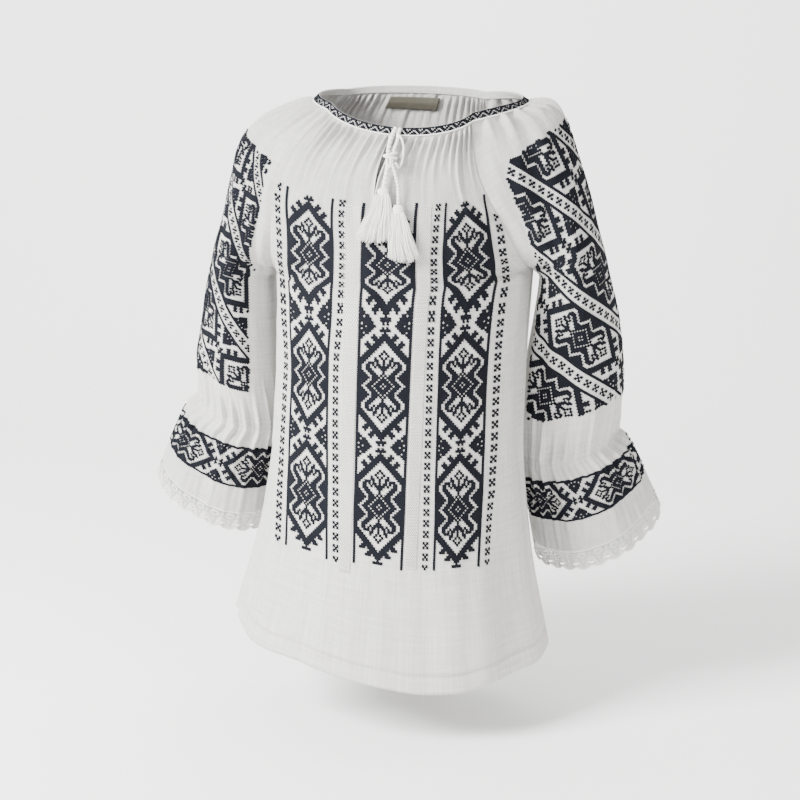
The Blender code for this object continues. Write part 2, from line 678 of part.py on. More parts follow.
def cord(name, route, diameter):
    """A drawstring: a round tube through its route's points, with flat ends."""
    knots = [on_front(*row) for row in route]
    axes = [tuple((k, knot[axis]) for k, knot in enumerate(knots)) for axis in range(3)]
    steps = CORD_STEPS * (len(knots) - 1)
    points = []
    for k in range(steps + 1):
        points.append([smooth(("at", "value"), axis, "value", k / CORD_STEPS) for axis in axes])
    curve = bpy.data.curves.new(name, "CURVE")
    curve.dimensions = "3D"
    curve.bevel_depth = diameter / 2
    curve.bevel_resolution = CORD_ROUNDING
    curve.use_fill_caps = True
    curve.render_resolution_u = 0
    spline = curve.splines.new("POLY")
    spline.points.add(len(points) - 1)
    for place, point in zip(spline.points, points):
        place.co = (*point, 1)
    built = bpy.data.objects.new(name, curve)
    bpy.context.scene.collection.objects.link(built)
    curve.materials.append(material(name, CORD_COTTON))
    return built


def tassel_place(size, share, layer, drop, width):
    """A place in a tassel's fringe: share runs from side to side, layer from back to front."""
    fall = drop / size["fringe"]
    x = size["x"] + share * width + size["swing"] * fall ** SWING_BEND
    z = size["z"] - size["head"] - drop * (1 - TIPS_ROUND * share * share)
    return on_front(x, z, TASSEL_HEIGHT + layer * TASSEL_THICK / 2)


def tassel_head(mesh, size, rim):
    """Rings from the fringe's root up over the wrapped head, closed at the top."""
    bottom = on_front(size["x"], size["z"] - size["head"], TASSEL_HEIGHT)
    top = on_front(size["x"], size["z"], TASSEL_HEIGHT)
    offsets = [np.array(vert.co) - bottom for vert in rim]
    lower = rim
    for rise, squeeze in TASSEL_HEAD:
        upper = [mesh.verts.new(bottom + (top - bottom) * rise + offset * squeeze) for offset in offsets]
        for k in range(len(lower)):
            beside = (k + 1) % len(lower)
            mesh.faces.new((lower[beside], lower[k], upper[k], upper[beside]))
        lower = upper
    mesh.faces.new(lower)


def tassel_fringe(mesh, size, cells):
    """One lock from each cell of the root, pulled down and out over the cloth."""
    mesh.normal_update()
    bmesh.ops.inset_individual(mesh, faces=cells, thickness=LOCK_INSET)
    for drop, shrink, bunch in TASSEL_LOCKS:
        cells = [bmesh.ops.extrude_discrete_faces(mesh, faces=[cell])["faces"][0] for cell in cells]
        for k, face in enumerate(cells):
            column, layer = divmod(k, LOCKS_DEEP)
            share = (column + 0.5) / LOCKS_ACROSS * 2 - 1
            depth = (layer + 0.5) / LOCKS_DEEP * 2 - 1
            uneven = 1 - TIPS_UNEVEN * ((column * 5 + layer * 3) % 4) / 3
            root = size["width"] / 2
            width = root + (size["spread"] - root) * drop ** FAN_BEND
            goal = tassel_place(size, share, depth * bunch, drop * size["fringe"] * uneven, width)
            middle = np.array(face.calc_center_median())
            for vert in face.verts:
                vert.co = goal + (np.array(vert.co) - middle) * shrink


def tassel(name, size):
    """A wrapped head over two layers of locks that fan out on the cloth."""
    mesh = bmesh.new()
    grid = []
    for share in spaced(LOCKS_ACROSS):
        places = [tassel_place(size, share, layer, 0.0, size["width"] / 2) for layer in spaced(LOCKS_DEEP)]
        grid.append([mesh.verts.new(place) for place in places])
    cells = []
    for column, beside in zip(grid, grid[1:]):
        for a, b, c, d in zip(column, column[1:], beside[1:], beside):
            cells.append(mesh.faces.new((a, b, c, d)))
    front = [row[-1] for row in grid]
    back = [row[0] for row in grid]
    rim = grid[0][:-1] + front[:-1] + grid[-1][:0:-1] + back[:0:-1]
    tassel_head(mesh, size, rim)
    tassel_fringe(mesh, size, cells)
    bmesh.ops.recalc_face_normals(mesh, faces=mesh.faces)
    data = bpy.data.meshes.new(name)
    mesh.to_mesh(data)
    mesh.free()
    built = bpy.data.objects.new(name, data)
    bpy.context.scene.collection.objects.link(built)
    data.materials.append(material(name, CORD_COTTON))
    return built


def dress(sheets, finishes):
    """Lift the gathers and folds, give every sheet its wall, and make the objects."""
    keys = [[tuple(np.round(point, 6)) for point in sheet.points] for sheet in sheets]
    normals = share_normals(sheets, keys)
    for sheet, towards in zip(sheets, normals):
        sheet.points = [p + n * lift for p, n, lift in zip(sheet.points, towards, sheet.lifts)]
    normals = share_normals(sheets, keys)
    for sheet, towards, finish in zip(sheets, normals, finishes):
        add_object(sheet.name, *thicken(sheet, towards), finish)


def build():
    for old in list(bpy.data.objects):
        bpy.data.objects.remove(old, do_unlink=True)
    tables = (("left", SLEEVE_LEFT), ("right", SLEEVE_RIGHT))
    cloth = [panel("front"), panel("back")]
    cloth += [sleeve(side, table) for side, table in tables]
    cloth += [frill(side, table) for side, table in tables]
    laces = [lace(side, table, half) for side, table in tables for half in ("front", "back")]
    finishes = [COTTON] * len(cloth) + [LACE_COTTON] * len(laces) + [EMBROIDERY]
    dress(cloth + laces + [neckband()], finishes)
    dress([label()], [LABEL_CLOTH])
    cord("cord_left", ROUTE_LEFT, CORD_LEFT)
    cord("cord_right", ROUTE_RIGHT, CORD_RIGHT)
    tassel("tassel_left", TASSEL_LEFT)
    tassel("tassel_right", TASSEL_RIGHT)


build()
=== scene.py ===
import math

import bmesh
import bpy
import numpy as np
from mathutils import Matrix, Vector


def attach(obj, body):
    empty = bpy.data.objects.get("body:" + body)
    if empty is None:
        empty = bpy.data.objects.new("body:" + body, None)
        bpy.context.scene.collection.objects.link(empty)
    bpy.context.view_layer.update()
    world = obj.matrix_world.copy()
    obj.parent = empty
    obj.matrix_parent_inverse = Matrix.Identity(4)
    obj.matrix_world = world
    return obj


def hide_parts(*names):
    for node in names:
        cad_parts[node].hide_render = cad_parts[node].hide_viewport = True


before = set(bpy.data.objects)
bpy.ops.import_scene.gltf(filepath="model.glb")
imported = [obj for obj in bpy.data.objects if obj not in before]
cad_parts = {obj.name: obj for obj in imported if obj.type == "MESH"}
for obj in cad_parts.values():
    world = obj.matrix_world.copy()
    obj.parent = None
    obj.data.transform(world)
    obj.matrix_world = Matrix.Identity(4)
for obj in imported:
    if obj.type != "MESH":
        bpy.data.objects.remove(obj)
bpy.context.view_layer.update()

# Camera, floor and light
# The camera stands where the photograph was taken from. The blouse hangs just above a pale studio floor that
# sweeps up behind it, in soft light from both sides and above.
CAMERA_AZIMUTH = math.radians(10)
CAMERA_ELEVATION = math.radians(12.5)
CAMERA_DISTANCE = 2.0
CAMERA_AIM = Vector((-0.00936, 0, -0.35693))
CAMERA_LENS = 75
CAMERA_SENSOR = 36
CAMERA_REACH = 50
FLOOR_HEIGHT = -0.74
SWEEP_START = 1.2
SWEEP_RADIUS = 0.9
SWEEP_STEPS = 12
FLOOR_HALF = 6.0
LAMPS = (
    # name, place, size, power
    ("key", (-1.9, -1.5, 1.25), 1.1, 330),
    ("fill", (1.9, -1.9, 0.25), 1.6, 34),
    ("back", (0.3, 1.9, 1.5), 1.5, 30),
)
SKY_STRENGTH = 1.15
SKY_COLOUR = (1.0, 0.99, 0.975, 1)
PAPER_COLOUR = (0.97, 0.97, 0.965, 1)
PAPER_ROUGHNESS = 0.9

away = Vector((math.sin(CAMERA_AZIMUTH) * math.cos(CAMERA_ELEVATION),
               -math.cos(CAMERA_AZIMUTH) * math.cos(CAMERA_ELEVATION), math.sin(CAMERA_ELEVATION)))
camera = bpy.data.objects.new("camera", bpy.data.cameras.new("camera"))
camera.data.lens = CAMERA_LENS
camera.data.sensor_width = CAMERA_SENSOR
camera.data.clip_end = CAMERA_REACH
camera.location = CAMERA_AIM + away * CAMERA_DISTANCE
camera.rotation_euler = away.to_track_quat("Z", "Y").to_euler()
bpy.context.scene.collection.objects.link(camera)
bpy.context.scene.camera = camera

for lamp_name, lamp_place, lamp_size, lamp_power in LAMPS:
    lamp = bpy.data.objects.new(lamp_name, bpy.data.lights.new(lamp_name, "AREA"))
    lamp.data.size = lamp_size
    lamp.data.energy = lamp_power
    lamp.location = lamp_place
    lamp.rotation_euler = (Vector(lamp_place) - CAMERA_AIM).to_track_quat("Z", "Y").to_euler()
    bpy.context.scene.collection.objects.link(lamp)

sky = bpy.data.worlds.new("studio")
sky.use_nodes = True
sky.node_tree.nodes["Background"].inputs["Color"].default_value = SKY_COLOUR
sky.node_tree.nodes["Background"].inputs["Strength"].default_value = SKY_STRENGTH
bpy.context.scene.world = sky


def make_mesh(name, points, faces, uv=None):
    """An object from arrays of points and faces, with the cloth's own coordinates where it has them."""
    mesh = bpy.data.meshes.new(name)
    faces = faces.tolist() if isinstance(faces, np.ndarray) else faces
    mesh.from_pydata(np.asarray(points).reshape(-1, 3).tolist(), [], faces)
    if uv is not None:
        corners = np.zeros(len(mesh.loops), np.int32)
        mesh.loops.foreach_get("vertex_index", corners)
        mesh.uv_layers.new(name="cloth").data.foreach_set("uv", np.asarray(uv)[corners].astype(np.float32).ravel())
    mesh.shade_smooth()
    made = bpy.data.objects.new(name, mesh)
    bpy.context.scene.collection.objects.link(made)
    return made


sweep = [(-FLOOR_HALF, FLOOR_HEIGHT)]
for step in range(SWEEP_STEPS + 1):
    turn = math.radians(90 * step / SWEEP_STEPS)
    sweep.append((SWEEP_START + SWEEP_RADIUS * math.sin(turn), FLOOR_HEIGHT + SWEEP_RADIUS * (1 - math.cos(turn))))
sweep.append((SWEEP_START + SWEEP_RADIUS, FLOOR_HALF))
floor_points = [(x, y, z) for y, z in sweep for x in (-FLOOR_HALF, FLOOR_HALF)]
floor_faces = [(2 * k, 2 * k + 1, 2 * k + 3, 2 * k + 2) for k in range(len(sweep) - 1)]
floor = make_mesh("floor", floor_points, floor_faces)
paper = bpy.data.materials.new("paper")
paper.use_nodes = True
paper.node_tree.nodes["Principled BSDF"].inputs["Base Color"].default_value = PAPER_COLOUR
paper.node_tree.nodes["Principled BSDF"].inputs["Roughness"].default_value = PAPER_ROUGHNESS
floor.data.materials.append(paper)

# Front and back
# Thin crinkled white cotton, cut wide and gathered into the neckband, with flat-felled seams and a turned hem.
# The front is open at a centre slit and has two drawn-thread strips beside its middle column of embroidery.
# A sleeve is a stack of ovals and the front and back are arcs between the seams, as in the solids. "down" is 0
# at the neckband, 1 at the underarm, 2 at the hem or elastic and 3 at the lace; "across" runs from -1 to 1.
# Metres, +Z up, the front faces -Y, "left" is -X. The panels end on the sleeves' seams, so both stand here.
# A sleeve's ovals. "in" is the point nearest the body, "out" the one furthest from it, "y" and "half_y"
# the middle and half width from front to back, "angle" how far the oval runs each way from "out",
# "nod" how far its front hangs below its back.
SLEEVE_COLUMNS = ("down", "in_x", "in_z", "out_x", "out_z", "y", "half_y", "angle", "nod")
SLEEVE_RIGHT = (
    (0.00, 0.083, -0.013, 0.141, -0.004, -0.004, 0.072, 50, 10),
    (0.15, 0.085, -0.038, 0.161, -0.003, -0.002, 0.070, 62, 8),
    (0.30, 0.089, -0.064, 0.174, -0.011, 0.001, 0.070, 72, 6),
    (0.50, 0.101, -0.100, 0.188, -0.037, 0.006, 0.069, 88, 4),
    (0.75, 0.125, -0.146, 0.207, -0.095, 0.013, 0.067, 112, 2),
    (0.86, 0.134, -0.171, 0.217, -0.130, 0.016, 0.067, 127, 1),
    (0.93, 0.140, -0.184, 0.223, -0.154, 0.018, 0.067, 142, 0),
    (0.975, 0.144, -0.192, 0.227, -0.170, 0.0195, 0.067, 158, 0),
    (1.00, 0.146, -0.196, 0.229, -0.178, 0.020, 0.067, 180, 0),
    (1.10, 0.153, -0.206, 0.234, -0.200, 0.024, 0.066, 180, 0),
    (1.25, 0.147, -0.250, 0.242, -0.234, 0.034, 0.065, 180, 0),
    (1.50, 0.136, -0.315, 0.251, -0.292, 0.050, 0.061, 180, 3),
    (1.75, 0.131, -0.378, 0.253, -0.346, 0.060, 0.060, 180, 7),
    (2.00, 0.133, -0.434, 0.244, -0.402, 0.065, 0.055, 180, 11),
    (2.15, 0.133, -0.451, 0.262, -0.416, 0.068, 0.061, 180, 14),
    (2.50, 0.138, -0.488, 0.277, -0.446, 0.076, 0.066, 180, 19),
    (3.00, 0.145, -0.533, 0.293, -0.484, 0.084, 0.070, 180, 24),
)
SLEEVE_LEFT = (
    (0.00, -0.084, -0.006, -0.110, -0.001, 0.002, 0.066, 50, 7),
    (0.15, -0.106, -0.028, -0.145, -0.011, 0.003, 0.066, 62, 6),
    (0.30, -0.126, -0.054, -0.178, -0.026, 0.004, 0.067, 72, 5),
    (0.50, -0.143, -0.096, -0.202, -0.052, 0.007, 0.068, 88, 4),
    (0.75, -0.153, -0.148, -0.217, -0.106, 0.013, 0.067, 112, 2),
    (0.86, -0.157, -0.176, -0.225, -0.138, 0.016, 0.067, 127, 1),
    (0.93, -0.159, -0.190, -0.231, -0.158, 0.018, 0.067, 142, 0),
    (0.975, -0.160, -0.199, -0.235, -0.171, 0.0195, 0.067, 158, 0),
    (1.00, -0.161, -0.203, -0.237, -0.178, 0.020, 0.067, 180, 0),
    (1.10, -0.168, -0.213, -0.242, -0.198, 0.023, 0.067, 180, 0),
    (1.25, -0.168, -0.250, -0.251, -0.230, 0.030, 0.067, 180, 0),
    (1.50, -0.165, -0.302, -0.264, -0.278, 0.042, 0.065, 180, 3),
    (1.75, -0.162, -0.352, -0.273, -0.322, 0.050, 0.063, 180, 7),
    (2.00, -0.160, -0.400, -0.271, -0.370, 0.055, 0.055, 180, 11),
    (2.15, -0.162, -0.417, -0.291, -0.381, 0.058, 0.061, 180, 14),
    (2.50, -0.170, -0.453, -0.310, -0.408, 0.066, 0.066, 180, 19),
    (3.00, -0.180, -0.503, -0.330, -0.448, 0.074, 0.070, 180, 23),
)
# The front and back. "front_y" and "front_z" place the middle of the front, "back_y" and "back_z" that
# of the back, and "arc" is how far each arc runs from its middle.
BODY_COLUMNS = ("down", "front_y", "front_z", "back_y", "back_z", "arc")
BODY = (
    (0.00, -0.077, -0.038, 0.066, 0.003, 70),
    (0.15, -0.085, -0.060, 0.074, -0.020, 62),
    (0.30, -0.092, -0.084, 0.081, -0.046, 58),
    (0.50, -0.101, -0.118, 0.088, -0.088, 50),
    (0.75, -0.110, -0.162, 0.093, -0.142, 43),
    (0.86, -0.112, -0.183, 0.094, -0.168, 44),
    (0.93, -0.113, -0.196, 0.095, -0.183, 55),
    (0.975, -0.1135, -0.204, 0.095, -0.193, 75),
    (1.00, -0.114, -0.208, 0.095, -0.198, 90),
    (1.25, -0.113, -0.300, 0.095, -0.295, 90),
    (1.50, -0.112, -0.400, 0.097, -0.395, 90),
    (1.75, -0.124, -0.520, 0.110, -0.515, 90),
    (2.00, -0.150, -0.675, 0.130, -0.662, 90),
)
# The side seams, from the underarm down
SIDE_COLUMNS = ("down", "left_x", "left_z", "right_x", "right_z", "y")
SIDES = (
    (1.00, -0.161, -0.203, 0.146, -0.196, 0.020),
    (1.10, -0.160, -0.238, 0.144, -0.232, 0.017),
    (1.25, -0.161, -0.290, 0.141, -0.288, 0.012),
    (1.50, -0.165, -0.385, 0.139, -0.395, 0.006),
    (1.75, -0.180, -0.495, 0.149, -0.520, 0.003),
    (2.00, -0.217, -0.627, 0.174, -0.654, 0.002),
)
# How far the hem rises above a plain curve, across the front and the back
HEM_COLUMNS = ("across", "front", "back")
HEM_RISE = (
    (-1.00, 0.000, 0.000),
    (-0.85, 0.016, 0.010),
    (-0.72, 0.025, 0.020),
    (-0.57, 0.014, 0.024),
    (-0.25, 0.030, 0.014),
    (0.02, 0.024, 0.012),
    (0.25, 0.010, 0.018),
    (0.37, 0.008, 0.022),
    (0.44, 0.020, 0.024),
    (0.54, 0.042, 0.026),
    (0.66, 0.056, 0.026),
    (0.80, 0.055, 0.020),
    (0.93, 0.035, 0.010),
    (1.00, 0.000, 0.000),
)
HEM_RISE_START = 1.5
# The largest folds: troughs that run down a piece. The columns are the piece, the trough's place across
# it, where down the piece it starts and ends, its half width across and its depth.
FOLDS = (
    ("front", -0.83, 1.55, 2.20, 0.07, 0.0085),
    ("front", 0.66, 1.60, 2.20, 0.12, 0.0120),
    ("front", 0.86, 0.95, 1.70, 0.07, 0.0035),
    ("front", -0.45, 1.62, 2.20, 0.13, 0.0045),
    ("front", 0.18, 1.66, 2.20, 0.14, 0.0040),
    ("back", -0.62, 1.15, 2.20, 0.09, 0.0075),
    ("back", -0.18, 1.35, 2.20, 0.11, 0.0060),
    ("back", 0.30, 1.20, 2.20, 0.09, 0.0080),
    ("back", 0.72, 1.45, 2.20, 0.08, 0.0060),
    ("sleeve_left", -0.62, 0.10, 1.30, 0.13, 0.0065),
    ("sleeve_left", -0.30, 1.15, 2.05, 0.12, 0.0050),
    ("sleeve_left", 0.45, 0.60, 1.95, 0.13, 0.0070),
    ("sleeve_right", -0.62, 0.10, 1.25, 0.13, 0.0065),
    ("sleeve_right", -0.55, 1.20, 2.05, 0.11, 0.0060),
    ("sleeve_right", 0.42, 0.55, 1.95, 0.13, 0.0070),
    ("frill_left", -0.42, 2.05, 3.30, 0.10, 0.0060),
    ("frill_left", 0.05, 2.05, 3.30, 0.11, 0.0055),
    ("frill_left", 0.55, 2.05, 3.30, 0.12, 0.0060),
    ("frill_right", -0.70, 2.05, 3.30, 0.10, 0.0060),
    ("frill_right", -0.20, 2.05, 3.30, 0.11, 0.0050),
    ("frill_right", 0.35, 2.05, 3.30, 0.12, 0.0060),
)
# Smaller folds, with the same columns
SMALL_FOLDS = (
    ("front", -0.92, 1.20, 1.75, 0.045, 0.0030),
    ("front", -0.66, 0.55, 1.15, 0.060, 0.0022),
    ("front", -0.30, 1.45, 2.20, 0.060, 0.0022),
    ("front", -0.02, 1.60, 2.20, 0.055, 0.0018),
    ("front", 0.05, 0.50, 1.40, 0.090, 0.0016),
    ("front", 0.42, 1.55, 2.20, 0.050, 0.0024),
    ("front", 0.93, 1.35, 2.10, 0.040, 0.0030),
    ("front", 0.72, 0.80, 1.30, 0.050, 0.0020),
    ("back", -0.85, 0.80, 1.60, 0.050, 0.0030),
    ("back", -0.40, 0.90, 2.20, 0.050, 0.0026),
    ("back", 0.08, 0.70, 1.90, 0.060, 0.0024),
    ("back", 0.52, 0.95, 2.20, 0.055, 0.0026),
    ("back", 0.90, 0.90, 1.80, 0.050, 0.0028),
    ("sleeve_left", -0.82, 0.20, 1.10, 0.060, 0.0040),
    ("sleeve_left", -0.10, 0.25, 0.95, 0.090, 0.0020),
    ("sleeve_left", -0.80, 1.10, 1.95, 0.070, 0.0038),
    ("sleeve_left", 0.15, 1.30, 2.00, 0.070, 0.0026),
    ("sleeve_left", 0.75, 0.30, 1.20, 0.080, 0.0036),
    ("sleeve_left", 0.78, 1.20, 2.00, 0.070, 0.0030),
    ("sleeve_right", -0.84, 0.25, 1.20, 0.060, 0.0040),
    ("sleeve_right", -0.90, 1.15, 1.95, 0.050, 0.0036),
    ("sleeve_right", -0.73, 1.25, 2.00, 0.050, 0.0034),
    ("sleeve_right", -0.25, 1.25, 2.00, 0.080, 0.0022),
    ("sleeve_right", 0.10, 0.30, 1.00, 0.090, 0.0022),
    ("sleeve_right", 0.76, 0.30, 1.90, 0.080, 0.0036),
)
ELASTIC_FADE = 0.07
CREASE_LONG = 0.00065
CREASE_CROSS = 0.00035
SEAM_SPAN = 0.16
SEAM_RIDGE = 0.0007
HEM_LINE = 1.963
HEM_GROOVE = 0.0006
HEM_GROOVE_HALF = 0.0022
SEAM_INSET = 0.0032
SEAM_HALF = 0.0011
# How high the gathers stand, down the neck end of each piece and round the elastic
GATHER_COLUMNS = ("down", "height")
NECK_GATHERS = ((0.00, 0.0), (0.05, 1.0), (0.14, 0.72), (0.28, 0.28), (0.50, 0.0), (3.00, 0.0))
ELASTIC_GATHERS = ((0.00, 0.0), (1.78, 0.0), (1.90, 0.8), (1.96, 1.0), (2.00, 0.5), (2.08, 1.1),
                   (2.20, 0.45), (2.35, 0.30), (2.68, 0.22), (3.00, 0.20))
PANEL_WAVES = 24
SLEEVE_WAVES = 12
ELASTIC_WAVES = 24
NECK_GATHER = 0.0040
ELASTIC_GATHER = 0.0042
BACK_CALM = 0.75
BACK_CALM_HALF = 0.4
SLIT_HALF = 0.0055
SLIT_END = 0.5
SLIT_REACH = 1 / 12
SMALL_STEP = 0.001
# Waves that make the gathers uneven: each is a strength, a rate and a start
GATHER_UNEVEN = ((0.25, 9, 1), (0.18, 27, 2))
GATHER_LEVEL = 0.85
GATHER_LONGER = ((0.28, 17, 1), (0.20, 33, 2.5))
NECK_SPACING = ((0.6, 6, 0.8),)
NECK_RIDGES = ((0.80, 1, 0), (0.22, 2, 0.7))
ELASTIC_SPACING = ((0.7, 5, 0.4),)
ELASTIC_SPREAD = ((0.30, 11, 1),)
ELASTIC_LEVEL = 0.80
ELASTIC_RIDGES = ((0.62, 1, 0), (0.42, 2, 0.9), (0.20, 0.5, 1))
FOLD_ENDS = 0.7
# The crumple's waves: strength, rate across and down, start, then how far they wander and its two rates
CREASE_LONG_WAVES = ((1, 5.1, 0.7, 0, 1.4, 0, 0.9), (0.7, 8.3, -1.1, 2, 0, 0, 0))
CREASE_CROSS_WAVES = ((1, 1.9, 4.6, 0, 1.1, 1.7, 0), (0.6, -3.1, 7.3, 0, 0, 0, 0))
CREASE_PATCHES = ((0.5, 1.3, 0.9, 0, 0, 0, 0), (1, 0.7, -1.6, 1, 0, 0, 0))
CREASE_RATES = (6, 5)
CREASE_SEAM_FADE = 12
CREASE_STARTS = dict(front=0.3, back=2.1, sleeve_left=4.0, sleeve_right=5.3, frill_left=7.7, frill_right=9.1)
PANEL_COLUMNS = 240
BACK_COLUMNS = 190
FRONT_ROWS = 280
BACK_ROWS = 200
SEAM_PLACES = (0.0005, 0.0014, 0.0022, 0.0030, 0.0038, 0.0046, 0.0056)
HEM_TURN = 0.011
HEM_FOLD = 0.0009
# The last quarter of a panel's run: its share of "down" and its length in metres
HEM_QUARTER = 0.25
HEM_QUARTER_LONG = 0.155
HEM_CLOTH = (0.02, 0.04, 0.5, 1.0, 1.02)
PANEL_CLOTH = (0.23, 0.33)
WELD_REACH = 1e-6
NO_LENGTH = 1e-12
JUST_ABOVE_UNDERARM = 0.999999
# How far down each openwork strip runs, and its edges as shares of the panel's width
NET_COLUMNS = ("run", "down", "left", "right")
NET_LEFT = (
    (0.000, 0.482, -0.275, -0.112), (0.167, 0.848, -0.294, -0.163), (0.333, 1.128, -0.316, -0.195),
    (0.500, 1.304, -0.316, -0.199), (0.667, 1.484, -0.313, -0.203), (0.833, 1.646, -0.294, -0.195),
    (1.000, 1.790, -0.264, -0.180),
)
NET_RIGHT = (
    (0.000, 0.482, 0.424, 0.530), (0.167, 0.848, 0.285, 0.374), (0.333, 1.126, 0.230, 0.316),
    (0.500, 1.296, 0.226, 0.313), (0.667, 1.472, 0.218, 0.309), (0.833, 1.626, 0.207, 0.294),
    (1.000, 1.764, 0.199, 0.279),
)
# Painted shade on the front and back: the tone their cotton is darkened to over the front's drawn-thread strips, as
# if the shaded inside showed through them, and the tint of that shade.
PANEL_PAINTED_SHADE = 0.62
PAINTED_SHADE_TINT = 0.98
# Painted shade: the share of it laid along the hem's stitch groove.
HEM_SHADE = 0.9
FRONT_FLAT = (0.62, 0.69)
FRONT_AREA = 0.31
BACK_FLAT = (0.58, 0.70)
BACK_AREA = 0.29
WAVE_PERIOD = 0.314
CRUMPLE_STRETCH = (1, 0.3, 1)
SLUB_STRETCHES = ((1, 0.05, 1), (0.05, 1, 1))


def smooth(columns, table, column, at):
    """A table's column at places down it, on a curve that never overshoots the table's values."""
    x = np.array([row[0] for row in table], float)
    y = np.array([row[columns.index(column)] for row in table], float)
    at = np.clip(np.asarray(at, float), x[0], x[-1])
    k = np.clip(np.searchsorted(x, at, side="right") - 1, 0, len(x) - 2)
    step = np.diff(x)
    slope = np.diff(y) / step
    bend = np.zeros(len(x))
    for i in range(1, len(x) - 1):
        if slope[i - 1] * slope[i] > 0:
            before = 2 * step[i] + step[i - 1]
            after = step[i] + 2 * step[i - 1]
            bend[i] = (before + after) / (before / slope[i - 1] + after / slope[i])
    bend[0] = slope[0]
    bend[-1] = slope[-1]
    u = (at - x[k]) / step[k]
    return ((1 + 2 * u) * (1 - u) ** 2 * y[k] + u * (1 - u) ** 2 * step[k] * bend[k]
            + u * u * (3 - 2 * u) * y[k + 1] + u * u * (u - 1) * step[k] * bend[k + 1])


def sleeve_point(table, down, across):
    """Places on a sleeve or frill: across is 0 on the outside, -1 at the front seam, 1 at the back one."""
    down, across = np.broadcast_arrays(np.asarray(down, float), np.asarray(across, float))
    row = {name: smooth(SLEEVE_COLUMNS, table, name, down) for name in SLEEVE_COLUMNS[1:]}
    inner = np.stack((row["in_x"], row["y"], row["in_z"]), -1)
    outer = np.stack((row["out_x"], row["y"], row["out_z"]), -1)
    angle = np.radians(np.where(down < 1, row["angle"], 180.0))
    length = np.linalg.norm(outer - inner, axis=-1)
    reach = (length / (1 - np.cos(angle)))[..., None]
    outward = (outer - inner) / length[..., None]
    nod = np.radians(row["nod"])
    backward = np.stack((np.zeros_like(nod), np.cos(nod), np.sin(nod)), -1)
    turn = (across * angle)[..., None]
    return (outer - outward * reach + outward * reach * np.cos(turn)
            + backward * row["half_y"][..., None] * np.sin(turn))


def side_point(side, down, edge):
    """The ends of a body row: on the raglan seam above the underarm, on the side seam below it."""
    above = sleeve_point(SLEEVE_LEFT if side < 0 else SLEEVE_RIGHT, np.minimum(down, JUST_ABOVE_UNDERARM), edge)
    name = "left" if side < 0 else "right"
    below = np.stack([smooth(SIDE_COLUMNS, SIDES, column, down) for column in (name + "_x", "y", name + "_z")], -1)
    return np.where((down < 1)[..., None], above, below)


def panel_point(face, down, across):
    """Places on the front or back: across runs from the left seam, -1, to the right seam, 1."""
    down, across = np.broadcast_arrays(np.asarray(down, float), np.asarray(across, float))
    edge = -1 if face == "front" else 1
    left = side_point(-1, down, edge)
    right = side_point(1, down, edge)
    arc = np.radians(smooth(BODY_COLUMNS, BODY, "arc", down))
    turn = across * arc
    share = ((1 + np.sin(turn) / np.sin(arc)) / 2)[..., None]
    bulge = (np.cos(turn) - np.cos(arc)) / (1 - np.cos(arc))
    middle = (left + right) / 2
    depth = smooth(BODY_COLUMNS, BODY, face + "_y", down) - middle[..., 1]
    drop = smooth(BODY_COLUMNS, BODY, face + "_z", down) - middle[..., 2]
    weight = (np.maximum(down - HEM_RISE_START, 0) / (2 - HEM_RISE_START)) ** 2
    base = left + (right - left) * share
    base[..., 1] += bulge * depth
    base[..., 2] += bulge * drop + weight * (1 - share[..., 0]) * smooth(HEM_COLUMNS, HEM_RISE, face, across)
    return base


def length_of(vectors):
    return np.maximum(np.linalg.norm(vectors, axis=-1, keepdims=True), NO_LENGTH)


def base_point(piece, down, across):
    """Places on a piece's plain shape, before its gathers and folds."""
    if piece in ("front", "back"):
        return panel_point(piece, down, across)
    return sleeve_point(SLEEVE_LEFT if piece.endswith("left") else SLEEVE_RIGHT, down, across)


def outward_of(piece, down, across, places=base_point):
    """Which way is out of the cloth."""
    by_down = places(piece, down + SMALL_STEP, across) - places(piece, down - SMALL_STEP, across)
    by_across = places(piece, down, across + SMALL_STEP) - places(piece, down, across - SMALL_STEP)
    out = np.cross(by_down, by_across)
    if piece == "back" or piece.endswith("left"):
        out = -out
    return out / length_of(out)


def wavy(at, level, waves, wave=np.sin):
    """A level with waves on it, each with its strength, rate and start."""
    for strength, rate, start in waves:
        level = level + strength * wave(rate * at + start)
    return level


def gather_height(piece, down, across):
    """Gathers at the neckline and round the elastic, each a little longer or shorter than the next."""
    waves = PANEL_WAVES if piece in ("front", "back") else SLEEVE_WAVES
    uneven = wavy(across, GATHER_LEVEL, GATHER_UNEVEN)
    flat_at_seam = np.clip((1 - np.abs(across)) * waves, 0, 1)
    ridge = wavy(wavy(across, math.pi * waves * (across + 1), NECK_SPACING), 0, NECK_RIDGES, np.cos)
    neck_down = down / wavy(across, 1, GATHER_LONGER)
    neck = NECK_GATHER * ridge * smooth(GATHER_COLUMNS, NECK_GATHERS, "height", neck_down)
    if piece == "back":
        neck = neck * (1 - BACK_CALM * np.exp(-(across / BACK_CALM_HALF) ** 4))
    if piece in ("front", "back"):
        return neck * uneven * flat_at_seam
    ridge = wavy(wavy(across, math.pi * ELASTIC_WAVES * (across + 1), ELASTIC_SPACING), 0, ELASTIC_RIDGES, np.cos)
    spread = 2 + (down - 2) * wavy(across, ELASTIC_LEVEL, ELASTIC_SPREAD)
    elastic = ELASTIC_GATHER * ridge * smooth(GATHER_COLUMNS, ELASTIC_GATHERS, "height", spread)
    return (neck + elastic) * uneven * flat_at_seam


def flat_at_elastic(piece, down):
    """Folds fade where a sleeve meets its frill, so that the two stay joined."""
    if piece in ("front", "back"):
        return 1
    return np.clip(np.abs(down - 2) / ELASTIC_FADE, 0, 1)


